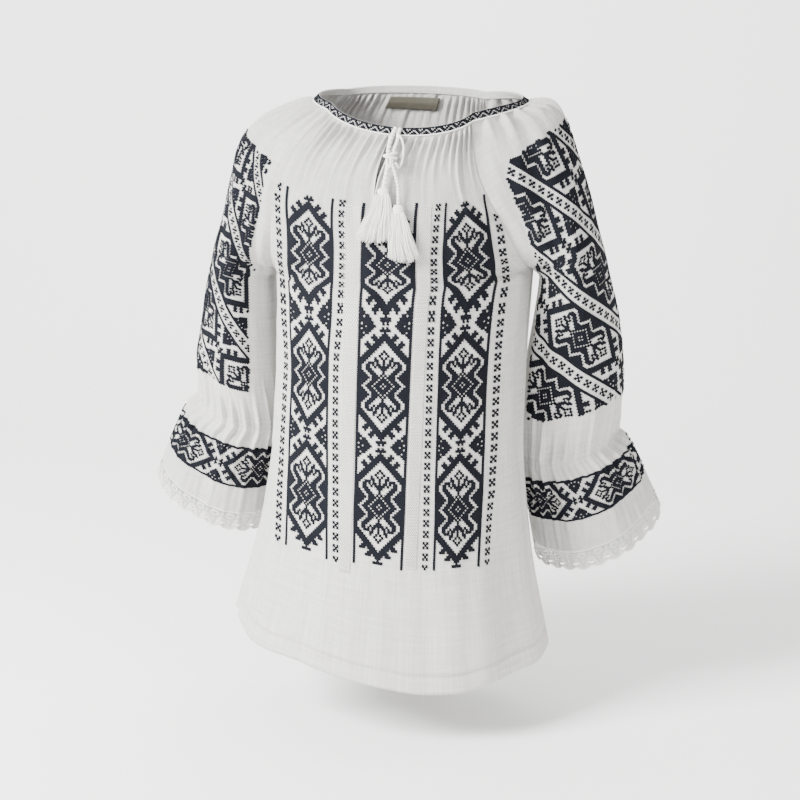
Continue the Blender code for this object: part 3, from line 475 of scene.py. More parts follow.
def fold_height(piece, down, across):
    """The large folds of the solids, then the smaller ones."""
    height = np.zeros(np.broadcast(down, across).shape)
    for name, middle, start, end, half_width, depth in FOLDS + SMALL_FOLDS:
        if name == piece:
            share = np.clip((down - start) / (end - start), 0, 1)
            height -= depth * np.sin(math.pi * share) ** FOLD_ENDS * np.exp(-((across - middle) / half_width) ** 2)
    return height * flat_at_elastic(piece, down)


def crossing(u, v, waves):
    """Waves that run aslant over the cloth and wander."""
    total = []
    for strength, by_u, by_v, start, wander, wander_u, wander_v in waves:
        aside = wander * np.sin(wander_u * u + wander_v * v)
        total.append(strength * np.sin(by_u * u + by_v * v + start + aside))
    return total


def crease_height(piece, down, across):
    """The cloth's soft crumple: long shallow creases that come and go."""
    start = CREASE_STARTS[piece]
    u = across * CREASE_RATES[0] + start
    v = down * CREASE_RATES[1] + 2 * start
    patch = 0.5 + np.prod(crossing(u, v, CREASE_PATCHES), axis=0)
    long_creases = sum(crossing(u, v, CREASE_LONG_WAVES))
    cross_creases = sum(crossing(u, v, CREASE_CROSS_WAVES))
    fade = np.clip((1 - np.abs(across)) * CREASE_SEAM_FADE, 0, 1) * flat_at_elastic(piece, down)
    return (CREASE_LONG * patch * long_creases + CREASE_CROSS * (1 - patch) * cross_creases) * fade


def seam_height(piece, down, across):
    """A flat-felled ridge beside each raglan and side seam, on the front and back."""
    if piece not in ("front", "back"):
        return 0 * across
    distance = (1 - np.abs(across)) * SEAM_SPAN
    groove = HEM_GROOVE * np.exp(-((down - HEM_LINE) / HEM_GROOVE_HALF) ** 2)
    return SEAM_RIDGE * np.exp(-((distance - SEAM_INSET) / SEAM_HALF) ** 2) - groove


def cloth_point(piece, down, across, lift=0.0):
    """Places on the finished cloth, and lift metres out from it."""
    height = (gather_height(piece, down, across) + fold_height(piece, down, across)
              + crease_height(piece, down, across) + seam_height(piece, down, across))
    return base_point(piece, down, across) + outward_of(piece, down, across) * (height + lift)[..., None]


def panel_across(down, share):
    """Where across a panel a share of its width lies: -1 is the left seam and 1 the right one."""
    arc = np.radians(smooth(BODY_COLUMNS, BODY, "arc", down))
    return np.arcsin(np.clip(share * np.sin(arc), -1, 1)) / arc


def new_material(name, settings):
    """A plain material, its shader and a function that links its nodes."""
    made = bpy.data.materials.new(name)
    made.use_nodes = True
    shader = made.node_tree.nodes["Principled BSDF"]
    set_inputs(shader, settings)
    return made, shader, made.node_tree.links.new


def set_inputs(node, settings):
    for name, value in settings.items():
        node.inputs[name].default_value = value


def add_nodes(made, *kinds):
    return [made.node_tree.nodes.new("ShaderNode" + kind) for kind in kinds]


def tone_between(made, dark, light):
    """A mix from the dark to the light tone, which colours the shader."""
    shade, = add_nodes(made, "Mix")
    shade.data_type = "RGBA"
    set_inputs(shade, {"A": (*dark, 1), "B": (*light, 1)})
    shader = made.node_tree.nodes["Principled BSDF"]
    made.node_tree.links.new(shade.outputs["Result"], shader.inputs["Base Color"])
    return shade


def cloth_material(name, dark, light, roughness, thread, weave_depth, crumple_depth, sheen):
    """Woven cloth on its own coordinates in metres: a weave of crossing threads, slubs and a fine crumple."""
    made, shader, link = new_material(name, {"Roughness": roughness, "Sheen Weight": sheen, "Sheen Roughness": 0.4,
                                             "Specular IOR Level": 0.25})
    place, warp, weft, crumple, stretch = add_nodes(made, "UVMap", "TexWave", "TexWave", "TexNoise", "Mapping")
    place.uv_map = "cloth"
    link(place.outputs["UV"], stretch.inputs["Vector"])
    stretch.inputs["Scale"].default_value = CRUMPLE_STRETCH
    grain = []
    for threads_along in SLUB_STRETCHES:
        turn, slub = add_nodes(made, "Mapping", "TexNoise")
        turn.inputs["Scale"].default_value = threads_along
        set_inputs(slub, {"Scale": 420, "Detail": 3})
        link(place.outputs["UV"], turn.inputs["Vector"])
        link(turn.outputs["Vector"], slub.inputs["Vector"])
        grain.append(slub)
    for wave, direction in ((warp, "X"), (weft, "Y")):
        wave.bands_direction = direction
        set_inputs(wave, {"Scale": WAVE_PERIOD / thread, "Distortion": 1.2, "Detail": 1, "Detail Scale": 0.4})
        link(place.outputs["UV"], wave.inputs["Vector"])
    set_inputs(crumple, {"Scale": 75, "Detail": 5, "Roughness": 0.6, "Distortion": 0.6})
    link(stretch.outputs["Vector"], crumple.inputs["Vector"])
    threads, tone, crumple_bump, weave_bump = add_nodes(made, "Math", "Math", "Bump", "Bump")
    for sum_node, operation, pair in ((tone, "MULTIPLY", grain), (threads, "ADD", (warp, weft))):
        sum_node.operation = operation
        for place_in, node in enumerate(pair):
            link(node.outputs["Fac"], sum_node.inputs[place_in])
    link(tone.outputs["Value"], tone_between(made, dark, light).inputs["Factor"])
    set_inputs(crumple_bump, {"Distance": crumple_depth, "Strength": 1})
    set_inputs(weave_bump, {"Distance": weave_depth, "Strength": 0.8})
    link(crumple.outputs["Fac"], crumple_bump.inputs["Height"])
    link(crumple_bump.outputs["Normal"], weave_bump.inputs["Normal"])
    link(threads.outputs["Value"], weave_bump.inputs["Height"])
    link(weave_bump.outputs["Normal"], shader.inputs["Normal"])
    return made


def grid_faces(rows, columns):
    k = np.arange(rows * columns).reshape(rows, columns)
    return np.stack((k[:-1, :-1], k[1:, :-1], k[1:, 1:], k[:-1, 1:]), -1).reshape(-1, 4)


def unevenly(count, extra):
    """Even places from -1 to 1 with a few more beside each end, where a seam needs them."""
    even = np.linspace(-1, 1, count + 1)
    inset = 1 - np.array(extra) / SEAM_SPAN
    return np.unique(np.round(np.concatenate((even, inset, -inset)), 6))


def panel_piece(face, rows, columns):
    """The front or back with its slit and the turned hem."""
    near_hem = HEM_LINE + HEM_GROOVE_HALF * np.array((-2, -1, 0, 1, 2))
    downs = np.unique(np.concatenate((np.linspace(0, 0.5, rows // 3), np.linspace(0.5, 2, 2 * rows // 3), near_hem)))
    across = unevenly(columns, SEAM_PLACES)
    D, A = np.meshgrid(downs, across, indexing="ij")
    points = cloth_point(face, D, A)
    hem = HEM_TURN / HEM_QUARTER_LONG * HEM_QUARTER
    inside = []
    for down, lift in ((2.0, -HEM_FOLD / 2), (2.0, -HEM_FOLD), (2 - hem / 2, -HEM_FOLD), (2 - hem, -HEM_FOLD),
                       (2 - hem, -HEM_FOLD / 3)):
        inside.append(cloth_point(face, np.full(across.shape, down), across, lift))
    points = np.concatenate((points, np.array(inside)))
    uv_v = np.concatenate((downs, 2 + hem * np.array(HEM_CLOTH)))
    U, V = np.meshgrid(across * PANEL_CLOTH[0], uv_v * PANEL_CLOTH[1], indexing="xy")
    uv = np.stack((U, V), -1)
    net = np.zeros(points.shape[:2])
    # Painted shade: a thin dark line along the hem's stitch groove.
    net[:len(downs)] = HEM_SHADE * np.exp(-((D - HEM_LINE) / HEM_GROOVE_HALF) ** 2)
    # Painted shade: the front's drawn-thread strips are darkened as if the shaded inside showed through them.
    if face == "front":
        for table in (NET_LEFT, NET_RIGHT):
            run = np.interp(D, [row[1] for row in table], [row[0] for row in table])
            inside_run = (D > table[0][1]) & (D < table[-1][1])
            left = panel_across(D, smooth(NET_COLUMNS, table, "left", run))
            right = panel_across(D, smooth(NET_COLUMNS, table, "right", run))
            net[:len(downs)] = np.maximum(net[:len(downs)], inside_run & (A > left) & (A < right))
        middle = int(np.argmin(np.abs(across)))
        open_half = SLIT_HALF * np.clip(1 - D / SLIT_END, 0, 1) * np.clip(1 - np.abs(A) / SLIT_REACH, 0, 1)
        parts = []
        for side, pick in ((-1, slice(0, middle + 1)), (1, slice(middle, None))):
            half = points[:, pick].copy()
            half[:len(downs), :, 0] += side * open_half[:, pick]
            parts.append((half, uv[:, pick], net[:, pick]))
    else:
        parts = [(points, uv, net)]
    faces, start = [], 0
    for half, _, _ in parts:
        faces.append(grid_faces(*half.shape[:2]) + start)
        start += half.shape[0] * half.shape[1]
    faces = np.concatenate(faces)
    if face == "front":
        faces = faces[:, ::-1]
    points, uv = [np.concatenate([part[k].reshape(-1, 3 - k) for part in parts]) for k in (0, 1)]
    made = make_mesh(face + "_cloth", points, faces[:, ::-1], uv)
    shade = made.data.attributes.new("net", "FLOAT", "POINT")
    shade.data.foreach_set("value", np.concatenate([part.ravel() for _, _, part in parts]).astype(np.float32))
    weld(made)
    return made


def weld(made):
    """Joins the points that meet at a seam or below the slit."""
    mesh = bmesh.new()
    mesh.from_mesh(made.data)
    bmesh.ops.remove_doubles(mesh, verts=mesh.verts, dist=WELD_REACH)
    mesh.to_mesh(made.data)
    mesh.free()


def painted_shade_copy(cloth, name, shade):
    """The same cloth with painted shade: its colour is darkened towards the given shade tone where the mesh's shade
    attribute is set.
    """
    made = cloth.copy()
    made.name = name
    shader = made.node_tree.nodes["Principled BSDF"]
    colour = shader.inputs["Base Color"].links[0].from_socket
    net, mix = add_nodes(made, "Attribute", "Mix")
    net.attribute_name = "net"
    mix.data_type = "RGBA"
    mix.blend_type = "MULTIPLY"
    mix.inputs["B"].default_value = (shade, shade, shade * PAINTED_SHADE_TINT, 1)
    link = made.node_tree.links.new
    link(net.outputs["Fac"], mix.inputs["Factor"])
    link(colour, mix.inputs["A"])
    link(mix.outputs["Result"], shader.inputs["Base Color"])
    return made


def dress(made, material, slot, *nodes):
    """Gives a piece its cloth or thread and its place on the garment, and hides the solids it stands for."""
    if material.name not in made.data.materials:
        made.data.materials.append(material)
    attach(made, "root")
    if nodes:
        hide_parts(*nodes)


cotton = cloth_material("cotton", (0.50, 0.49, 0.47), (1.0, 0.99, 0.965), 0.9, 0.00062, 0.00026, 0.0022, 0.05)
# The front and back wear a copy of the cotton with painted shade.
panel_cotton = painted_shade_copy(cotton, "panel_cotton", PANEL_PAINTED_SHADE)
for face, rows, columns, flat, area in (("front", FRONT_ROWS, PANEL_COLUMNS, FRONT_FLAT, FRONT_AREA),
                                        ("back", BACK_ROWS, BACK_COLUMNS, BACK_FLAT, BACK_AREA)):
    made = panel_piece(face, rows, columns)
    dress(made, panel_cotton, "cotton", face)

# Sleeves
# One raglan sleeve each side, of the same cotton, gathered at the neck and again by elastic above the frill.
SLEEVE_COLUMNS_ROUND = 300
# Where the rows lie closer, at the head and at the elastic
SLEEVE_HEAD = (0, 0.5, 36)
SLEEVE_ARM = (0.5, 1.7, 70)
SLEEVE_CUFF = (1.7, 2.0, 44)
TUBE_CLOTH = (0.18, 0.22)


def tube_piece(piece, downs, columns):
    """A sleeve or frill: open along the raglan seams above the underarm, closed below it."""
    across = np.linspace(-1, 1, columns + 1)
    D, A = np.meshgrid(downs, across, indexing="ij")
    points = cloth_point(piece, D, A)
    uv = np.stack((A * TUBE_CLOTH[0], D * TUBE_CLOTH[1]), -1)
    faces = grid_faces(*D.shape)
    if piece.endswith("right"):
        faces = faces[:, ::-1]
    made = make_mesh(piece + "_cloth", points, faces[:, ::-1], uv.reshape(-1, 2))
    weld(made)
    return made


sleeve_downs = np.unique(np.concatenate([np.linspace(*rows) for rows in (SLEEVE_HEAD, SLEEVE_ARM, SLEEVE_CUFF)]))
for side in ("left", "right"):
    made = tube_piece("sleeve_" + side, sleeve_downs, SLEEVE_COLUMNS_ROUND)
    dress(made, cotton, "cotton", "sleeve_" + side)

# Frills
# Below the elastic each sleeve flares out in a gathered frill.
FRILL_COLUMNS_ROUND = 300
FRILL_ROWS = 50
for side in ("left", "right"):
    made = tube_piece("frill_" + side, np.linspace(2, 3, FRILL_ROWS), FRILL_COLUMNS_ROUND)
    dress(made, cotton, "cotton", "frill_" + side)

# Embroidery
# Cross stitch in black cotton floss, counted over the cloth's own threads: three columns down the front, a
# slanting lattice on each sleeve and a band round each frill. Every stitch is two crossed legs.
# A quarter of the pattern: the first row and the first column are its middle, and it is mirrored both ways.
CHART = (
    "#.###.###..##", ".###.###..###", "###.###..####", "##.###..#####", "#.####.######", ".#.###..#####",
    "#...###..####", "#....###..###", "##....###..##", "###.#..##..##", "#.##.#.##..##", "#..#.###..###",
    "#..##....####", ".#..#...#####", "..#....####.#", ".#....####..#", "#....####...#", "....####....#",
    "...######...#", "..####.###..#", ".####...#...#", "######......#", "###.###....##", "##...#....###",
    "#.......##.##", "###....######", ".#....#####.#", ".....####.###",
)
CHART_ROWS = 54
CHART_COLUMNS = 25
COLUMN_ROWS = 162
CROSS_AWAY = 17
# Where the motif starts below a column's end, from its middle out
CROWN = ((0, 2, 3, 6, 7, 12), (1, 1, 4, 4, 6, 7))
CROSS_EVERY = 5
SHARE_LIMIT = 0.985
STITCH_LIFT = 0.0004
STITCH_RELIEF = 0.0006
STITCH_FULL = 1.25
LEG_HALF = 0.29
LEG_REACH = 0.68
LEG_CREST = 0.8
# Each leg's turn, and how high its edges and its crest lie
STITCH_LEGS = ((45, 0.0, 0.6), (135, 0.15, 1.0))
CROSS_ROOM = 7
STRIP_RUN = (-0.01, 1.01)
COLUMN_LEFT = (
    (0.000, 0.460, -0.890, -0.390), (0.167, 0.808, -0.816, -0.381), (0.333, 1.100, -0.797, -0.408),
    (0.500, 1.278, -0.760, -0.426), (0.667, 1.462, -0.771, -0.419), (0.833, 1.628, -0.753, -0.394),
    (1.000, 1.776, -0.707, -0.350),
)
COLUMN_MIDDLE = (
    (0.000, 0.466, -0.103, 0.408), (0.167, 0.834, -0.154, 0.269), (0.333, 1.120, -0.187, 0.214),
    (0.500, 1.290, -0.191, 0.210), (0.667, 1.468, -0.191, 0.203), (0.833, 1.626, -0.184, 0.195),
    (1.000, 1.768, -0.164, 0.184),
)
COLUMN_RIGHT = (
    (0.000, 0.486, 0.647, 0.985), (0.167, 0.844, 0.471, 0.837), (0.333, 1.122, 0.412, 0.765),
    (0.500, 1.296, 0.415, 0.760), (0.667, 1.470, 0.415, 0.758), (0.833, 1.626, 0.408, 0.737),
    (1.000, 1.764, 0.394, 0.702),
)
# Each sleeve's lattice in the plane of its height and width: how far its strips slant, where one of the
# strips of small crosses lies, how far apart they are, and how wide the field is down the sleeve
LATTICE_CELL = 0.0026
LATTICE_PERIOD = 32
LATTICE_STRIP = 28
LATTICE_WIDE = 0.19
LATTICE_TOP = 0.40
LATTICE_BOTTOM = 1.76
LATTICE_SEARCH = (0.2, 2.1)
LATTICE_COLUMNS = (-70, 230)
LATTICE_ROWS = (-190, 160)
FIELD_COLUMNS = ("down", "half")
LATTICE_LEFT = dict(slant=-1.25, strip=0.028, apart=0.114, field=((0.0, 0.86), (0.6, 0.84), (1.1, 0.70), (2.0, 0.62)))
LATTICE_RIGHT = dict(slant=0.60, strip=0.168, apart=0.102, field=((0.0, 0.80), (1.0, 0.85), (2.0, 0.80)))
BAND_CELLS = 216
BAND_LEFT = (2.20, 2.68)
BAND_RIGHT = (2.15, 2.60)
chart = np.array([[mark == "#" for mark in row] for row in CHART])
FIBRE_DEPTH = 0.0003
SEARCH_STEPS = 20


def thread_material(name, dark, light, roughness, sheen, scale, gloss=0.3):
    """Cotton thread: tiny fibres and uneven tone, on object coordinates."""
    made, shader, link = new_material(name, {"Roughness": roughness, "Sheen Weight": sheen,
                                             "Specular IOR Level": gloss})
    place, fibres, bump = add_nodes(made, "TexCoord", "TexNoise", "Bump")
    link(place.outputs["Object"], fibres.inputs["Vector"])
    set_inputs(fibres, {"Scale": scale, "Detail": 4})
    link(fibres.outputs["Fac"], tone_between(made, dark, light).inputs["Factor"])
    bump.inputs["Distance"].default_value = FIBRE_DEPTH
    link(fibres.outputs["Fac"], bump.inputs["Height"])
    link(bump.outputs["Normal"], shader.inputs["Normal"])
    return made


floss = thread_material("floss", (0.002, 0.0025, 0.004), (0.012, 0.013, 0.018), 0.85, 0.0, 1500, 0.08)


def small_cross(column, row):
    """A small cross of five stitches."""
    return (np.abs(column) == np.abs(row)) & (np.abs(column) <= 1)


def stitch_object(half):
    """One cross stitch in a cell of size 1: a leg each way, the second lying over the first."""
    points, faces = [], []
    for turn, base, crest in STITCH_LEGS:
        along = np.array((math.cos(math.radians(turn)), math.sin(math.radians(turn)), 0)) * LEG_REACH
        beside = np.array((-along[1], along[0], 0)) / LEG_REACH * half
        low = np.array((0, 0, base))
        high = np.array((0, 0, crest))
        start = len(points)
        points += [-along - beside + low, -along + beside + low, along - beside + low, along + beside + low,
                   -LEG_CREST * along + high, LEG_CREST * along + high]
        faces += [[start + k for k in face] for face in ((0, 2, 5, 4), (1, 4, 5, 3))]
    faces += [[start + k for k in face] for face in ((0, 4, 1), (2, 3, 5))]
    return make_mesh("one_stitch", np.array(points), faces)


def repeat_tree():
    """Geometry nodes that put one stitch in every cell, turned and sized to the cloth."""
    tree = bpy.data.node_groups.new("stitch_each_cell", "GeometryNodeTree")
    sockets = {}
    for name, kind in (("Cells", "NodeSocketGeometry"), ("Stitch", "NodeSocketObject"),
                       ("Thread", "NodeSocketMaterial")):
        sockets[name] = tree.interface.new_socket(name=name, in_out="INPUT", socket_type=kind).identifier
    tree.interface.new_socket(name="Stitches", in_out="OUTPUT", socket_type="NodeSocketGeometry")
    new = tree.nodes.new
    link = tree.links.new
    given, made = new("NodeGroupInput"), new("NodeGroupOutput")
    one, place = new("GeometryNodeObjectInfo"), new("GeometryNodeInstanceOnPoints")
    turn = new("FunctionNodeAxesToRotation")
    turn.primary_axis = "Z"
    turn.secondary_axis = "X"
    real, finish = new("GeometryNodeRealizeInstances"), new("GeometryNodeSetMaterial")
    for name, socket in (("outward", turn.inputs["Primary Axis"]), ("along", turn.inputs["Secondary Axis"]),
                         ("size", place.inputs["Scale"])):
        value = new("GeometryNodeInputNamedAttribute")
        value.data_type = "FLOAT_VECTOR"
        value.inputs["Name"].default_value = name
        link(value.outputs["Attribute"], socket)
    link(given.outputs["Cells"], place.inputs["Points"])
    link(given.outputs["Stitch"], one.inputs["Object"])
    link(one.outputs["Geometry"], place.inputs["Instance"])
    link(turn.outputs["Rotation"], place.inputs["Rotation"])
    link(place.outputs["Instances"], real.inputs["Geometry"])
    link(real.outputs["Geometry"], finish.inputs["Geometry"])
    link(given.outputs["Thread"], finish.inputs["Material"])
    link(finish.outputs["Geometry"], made.inputs[0])
    return tree, sockets


cross_stitch = stitch_object(LEG_HALF)
stitch_tree, stitch_sockets = repeat_tree()


def sew(name, cells, stitch, thread, slot):
    """A piece of many stitches from their places, outward and along directions and sizes."""
    places, outward, along, sizes = cells
    seeds = make_mesh(name + "_cells", places, [])
    for label, value in (("outward", outward), ("along", along), ("size", sizes)):
        given = seeds.data.attributes.new(label, "FLOAT_VECTOR", "POINT")
        given.data.foreach_set("vector", np.asarray(value, np.float32).ravel())
    repeat = seeds.modifiers.new("repeat", "NODES")
    repeat.node_group = stitch_tree
    repeat[stitch_sockets["Stitch"]] = stitch
    repeat[stitch_sockets["Thread"]] = thread
    shown = bpy.context.evaluated_depsgraph_get()
    mesh = bpy.data.meshes.new_from_object(seeds.evaluated_get(shown))
    bpy.data.objects.remove(seeds)
    made = bpy.data.objects.new(name, mesh)
    bpy.context.scene.collection.objects.link(made)
    dress(made, thread, slot)


def cells_on(piece, place, column, row, relief=STITCH_RELIEF, full=STITCH_FULL):
    """Each cell's middle, directions and size, measured on the finished cloth."""
    down, across = place(column, row)
    wide = (cloth_point(piece, *place(column + 0.5, row)) - cloth_point(piece, *place(column - 0.5, row)))
    tall = (cloth_point(piece, *place(column, row + 0.5)) - cloth_point(piece, *place(column, row - 0.5)))
    outward = outward_of(piece, down, across, cloth_point)
    along = wide / length_of(wide)
    sizes = np.concatenate((length_of(wide), length_of(tall), np.full((len(wide), 1), relief)), 1)
    sizes[:, :2] *= full
    return cloth_point(piece, down, across, STITCH_LIFT), outward, along, sizes


def together(many):
    return [np.concatenate(part) for part in zip(*many)]


def strip_place(table, columns, rows):
    """Cells of a strip on the front, from its table of edges."""
    def place(column, row):
        run = np.clip((row + 0.5) / rows, *STRIP_RUN)
        down = np.interp(run, [line[0] for line in table], [line[1] for line in table])
        left = smooth(NET_COLUMNS, table, "left", run)
        right = smooth(NET_COLUMNS, table, "right", run)
        return down, panel_across(down, left + (right - left) * (column + 0.5) / columns)
    return place


column_cells = []
middle_cell = CHART_COLUMNS // 2
C, R = [grid.ravel() for grid in np.meshgrid(np.arange(-CROSS_ROOM, CHART_COLUMNS + CROSS_ROOM), np.arange(COLUMN_ROWS))]
in_chart = (C >= 0) & (C < CHART_COLUMNS)
aside = np.abs(C - middle_cell)
motif = in_chart & chart[np.abs(R % CHART_ROWS - CHART_ROWS // 2), np.clip(aside, 0, middle_cell)]
motif &= (np.minimum(R, COLUMN_ROWS - 1 - R) >= np.interp(aside, *CROWN)) | (aside == middle_cell)
crosses = small_cross(np.abs(C - middle_cell) - CROSS_AWAY, R % CROSS_EVERY - 1)
for table, edged in ((COLUMN_LEFT, True), (COLUMN_MIDDLE, False), (COLUMN_RIGHT, True)):
    place = strip_place(table, CHART_COLUMNS, COLUMN_ROWS)
    inside = np.abs(place(C, R)[1]) < SHARE_LIMIT
    pick = (motif | (crosses & edged)) & inside
    column_cells.append(cells_on("front", place, C[pick], R[pick]))
sew("stitches_front", together(column_cells), cross_stitch, floss, "neckband")


def lattice_place(piece, slant, strip, apart):
    """Cells of a sleeve's lattice, found by their height on the plain sleeve."""
    tilt = math.hypot(1, slant)
    cell = apart / tilt / LATTICE_PERIOD

    def place(column, row):
        square = strip / tilt + (column - LATTICE_STRIP) * cell
        along = row * LATTICE_CELL
        across = (along - slant * square) / tilt / LATTICE_WIDE
        height = (square + slant * along) / tilt
        high = np.full(across.shape, LATTICE_SEARCH[0])
        low = np.full(across.shape, LATTICE_SEARCH[1])
        for _ in range(SEARCH_STEPS):
            down = (high + low) / 2
            above = -base_point(piece, down, across)[..., 2] < height
            high = np.where(above, down, high)
            low = np.where(above, low, down)
        return (high + low) / 2, across
    return place


def lattice(piece, size):
    place = lattice_place(piece, size["slant"], size["strip"], size["apart"])
    column, row = [grid.ravel() for grid in np.meshgrid(np.arange(*LATTICE_COLUMNS), np.arange(*LATTICE_ROWS))]
    turn = column % LATTICE_PERIOD
    side = np.clip(np.abs(turn - middle_cell), 0, middle_cell)
    black = (turn < CHART_COLUMNS) & chart[np.abs(row % CHART_ROWS - CHART_ROWS // 2), side]
    black |= small_cross(turn - LATTICE_STRIP, row % CROSS_EVERY - 1)
    column, row = column[black].astype(float), row[black].astype(float)
    down, across = place(column, row)
    half = smooth(FIELD_COLUMNS, size["field"], "half", down)
    inside = (down > LATTICE_TOP) & (down < LATTICE_BOTTOM) & (np.abs(across) < half)
    return cells_on(piece, place, column[inside], row[inside])


def frill_place(span):
    def place(column, row):
        return span[0] + (span[1] - span[0]) * (row + 0.5) / CHART_COLUMNS, 2 * (column + 0.5) / BAND_CELLS - 1
    return place


C, R = [grid.ravel() for grid in np.meshgrid(np.arange(BAND_CELLS), np.arange(CHART_COLUMNS))]
motif = chart[np.abs(C % CHART_ROWS - CHART_ROWS // 2), np.abs(R - middle_cell)]
for side, size, span in (("left", LATTICE_LEFT, BAND_LEFT), ("right", LATTICE_RIGHT, BAND_RIGHT)):
    sew("stitches_sleeve_" + side, lattice("sleeve_" + side, size), cross_stitch, floss, "neckband")
    cells = cells_on("frill_" + side, frill_place(span), C[motif], R[motif])
    sew("stitches_frill_" + side, cells, cross_stitch, floss, "neckband")

# Openwork
# Two strips of the front where threads are drawn out and the rest are bunched in small white knots.
NET_CELLS = 6
NET_ROWS = 120
NET_RELIEF = 0.0008
KNOT_HALF = 0.13
white_thread = thread_material("white_thread", (0.74, 0.725, 0.69), (0.90, 0.89, 0.86), 0.75, 0.2, 1100)
net_knot = stitch_object(KNOT_HALF)
C, R = [grid.ravel() for grid in np.meshgrid(np.arange(NET_CELLS), np.arange(NET_ROWS))]
net_cells = [cells_on("front", strip_place(table, NET_CELLS, NET_ROWS), C, R, NET_RELIEF, 1)
             for table in (NET_LEFT, NET_RIGHT)]
sew("openwork", together(net_cells), net_knot, white_thread, "cotton")

# Sewing
# Hem, elastic and slit: rows of machine stitches in white thread, and a narrow rolled edge round the slit.
HEM_STITCHES = 150
ELASTIC_STITCHES = 130
# Each piece, how far down it its lines of stitches run, and how many stitches a line has
SEWN_LINES = (
    ("front", (HEM_LINE,), HEM_STITCHES), ("back", (HEM_LINE,), HEM_STITCHES),
    ("sleeve_left", (1.945, 1.985), ELASTIC_STITCHES), ("sleeve_right", (1.945, 1.985), ELASTIC_STITCHES),
    ("frill_left", (2.025,), ELASTIC_STITCHES), ("frill_right", (2.025,), ELASTIC_STITCHES),
)
RUNNING_TALL = 0.0007
RUNNING_RELIEF = 0.0005
RUNNING_SHARE = 0.72
RUNNING_STEP = 0.001
SLIT_EDGE = 0.0008
SLIT_START = 0.01
SLIT_STEPS = 60
SLIT_PITCH = 0.0022
EDGE_SIDES = 8
STRAND_HOLLOW = 0.48
ASIDE = (0.31, 0.2, 0.93)


def running_object():
    """One running stitch in a cell of size 1: a low rounded bar."""
    half = RUNNING_SHARE / 2
    points = [(-half, -0.5, 0), (-half, 0.5, 0), (half, -0.5, 0), (half, 0.5, 0), (-LEG_CREST * half, 0, 1),
              (LEG_CREST * half, 0, 1)]
    return make_mesh("one_running_stitch", np.array(points), [(0, 2, 5, 4), (1, 4, 5, 3), (0, 4, 1), (2, 3, 5)])


def line_place(line, count):
    def place(column, row):
        return np.broadcast_to(line + row * RUNNING_STEP, column.shape).astype(float), 2 * (column + 0.5) / count - 1
    return place



def tube_frames(path):
    """Along a path of points, two directions square to it that don't twist."""
    along = np.gradient(path, axis=0)
    along /= length_of(along)
    side = np.cross(along[0], ASIDE)
    sides = []
    for direction in along:
        side = side - direction * np.dot(side, direction)
        side = side / np.linalg.norm(side)
        sides.append(side)
    sides = np.array(sides)
    return sides, np.cross(along, sides)


def twisted_tube(path, radius, strands, pitch, sides):
    """Points and faces of a twisted cord, closed at both ends: its outline is that of the strands together."""
    path = np.asarray(path, float)
    one, two = tube_frames(path)
    run = np.concatenate(((0,), np.cumsum(np.linalg.norm(np.diff(path, axis=0), axis=1))))
    angle = np.linspace(0, 2 * math.pi, sides, endpoint=False)
    turn = angle[None, :] - (2 * math.pi * run / pitch)[:, None]
    size = radius * (1 - STRAND_HOLLOW + STRAND_HOLLOW * np.abs(np.cos(turn * strands / 2)))
    points = path[:, None] + size[..., None] * (one[:, None] * np.cos(angle)[None, :, None]
                                                + two[:, None] * np.sin(angle)[None, :, None])
    count = len(path)
    k = np.arange(count * sides).reshape(count, sides)
    beside = np.roll(k, -1, axis=1)
    faces = np.stack((k[:-1], beside[:-1], beside[1:], k[1:]), -1).reshape(-1, 4).tolist()
    faces += [k[0, ::-1].tolist(), k[-1].tolist()]
    return points.reshape(-1, 3), faces


def joined(parts):
    """Several (points, faces) as one."""
    points, faces, start = [], [], 0
    for more_points, more_faces in parts:
        points.append(np.asarray(more_points).reshape(-1, 3))
        faces += [[start + i for i in face] for face in more_faces]
        start += len(points[-1])
    return np.concatenate(points), faces


running_stitch = running_object()
sewing = []
for piece, lines, count in SEWN_LINES:
    column = np.arange(1, count - 1).astype(float)
    for line in lines:
        cells = cells_on(piece, line_place(line, count), column, 0 * column, RUNNING_RELIEF, 1)
        cells[3][:, 1] = RUNNING_TALL
        sewing.append(cells)
sew("sewing", together(sewing), running_stitch, white_thread, "cotton")

slit_parts = []
slit_down = np.linspace(SLIT_START, SLIT_END, SLIT_STEPS)
slit_line = cloth_point("front", slit_down, 0 * slit_down)
for side in (-1, 1):
    shift = side * SLIT_HALF * (1 - slit_down / SLIT_END)
    slit_parts.append(twisted_tube(slit_line + shift[:, None] * (1, 0, 0), SLIT_EDGE, 2, SLIT_PITCH, EDGE_SIDES))
slit_edge = make_mesh("slit_edge", *joined(slit_parts))
dress(slit_edge, white_thread, "cotton")

# Neckband
# A narrow white band all round the neckline, open at the slit, embroidered in black with small diamonds under a
# solid line, and finished below with a white corded edge.
BAND_THICK = 0.0016
BAND_STEP = 0.0024
BAND_FINE = 24
DIAMOND = ("#########", "###.#.###", ".###.###.", "#.#####.#", "##.###.##", "###.#.###")
DIAMOND_WIDE = 0.00155
DIAMOND_ROWS = 7
DIAMOND_START = 0.75
DIAMOND_LIFT = 0.0001
DIAMOND_RELIEF = 0.0005
# The band's outline: shares of its height and of its half thickness
BAND_PROFILE = ((0, 0.9), (0.15, 1), (0.5, 1.0), (0.85, 1), (1, 0.9))
BAND_CLOTH = 0.03
BAND_LOOK = 0.004
BAND_EDGE = 0.0009
EDGE_INSET = 0.0005
EDGE_STEP = 0.0008
EDGE_RISE = 0.02
EDGE_LIFT = 0.0003
EDGE_PITCH = 0.0026
BAND_HEIGHT = 0.0095
BAND_RISE = 0.6
BAND_BELOW = 0.06


def band_upward(point, below):
    """The way the neckband rises from the neckline."""
    rise = (point - below) / length_of(point - below) + np.array((0, 0, BAND_RISE))
    return rise / length_of(rise)


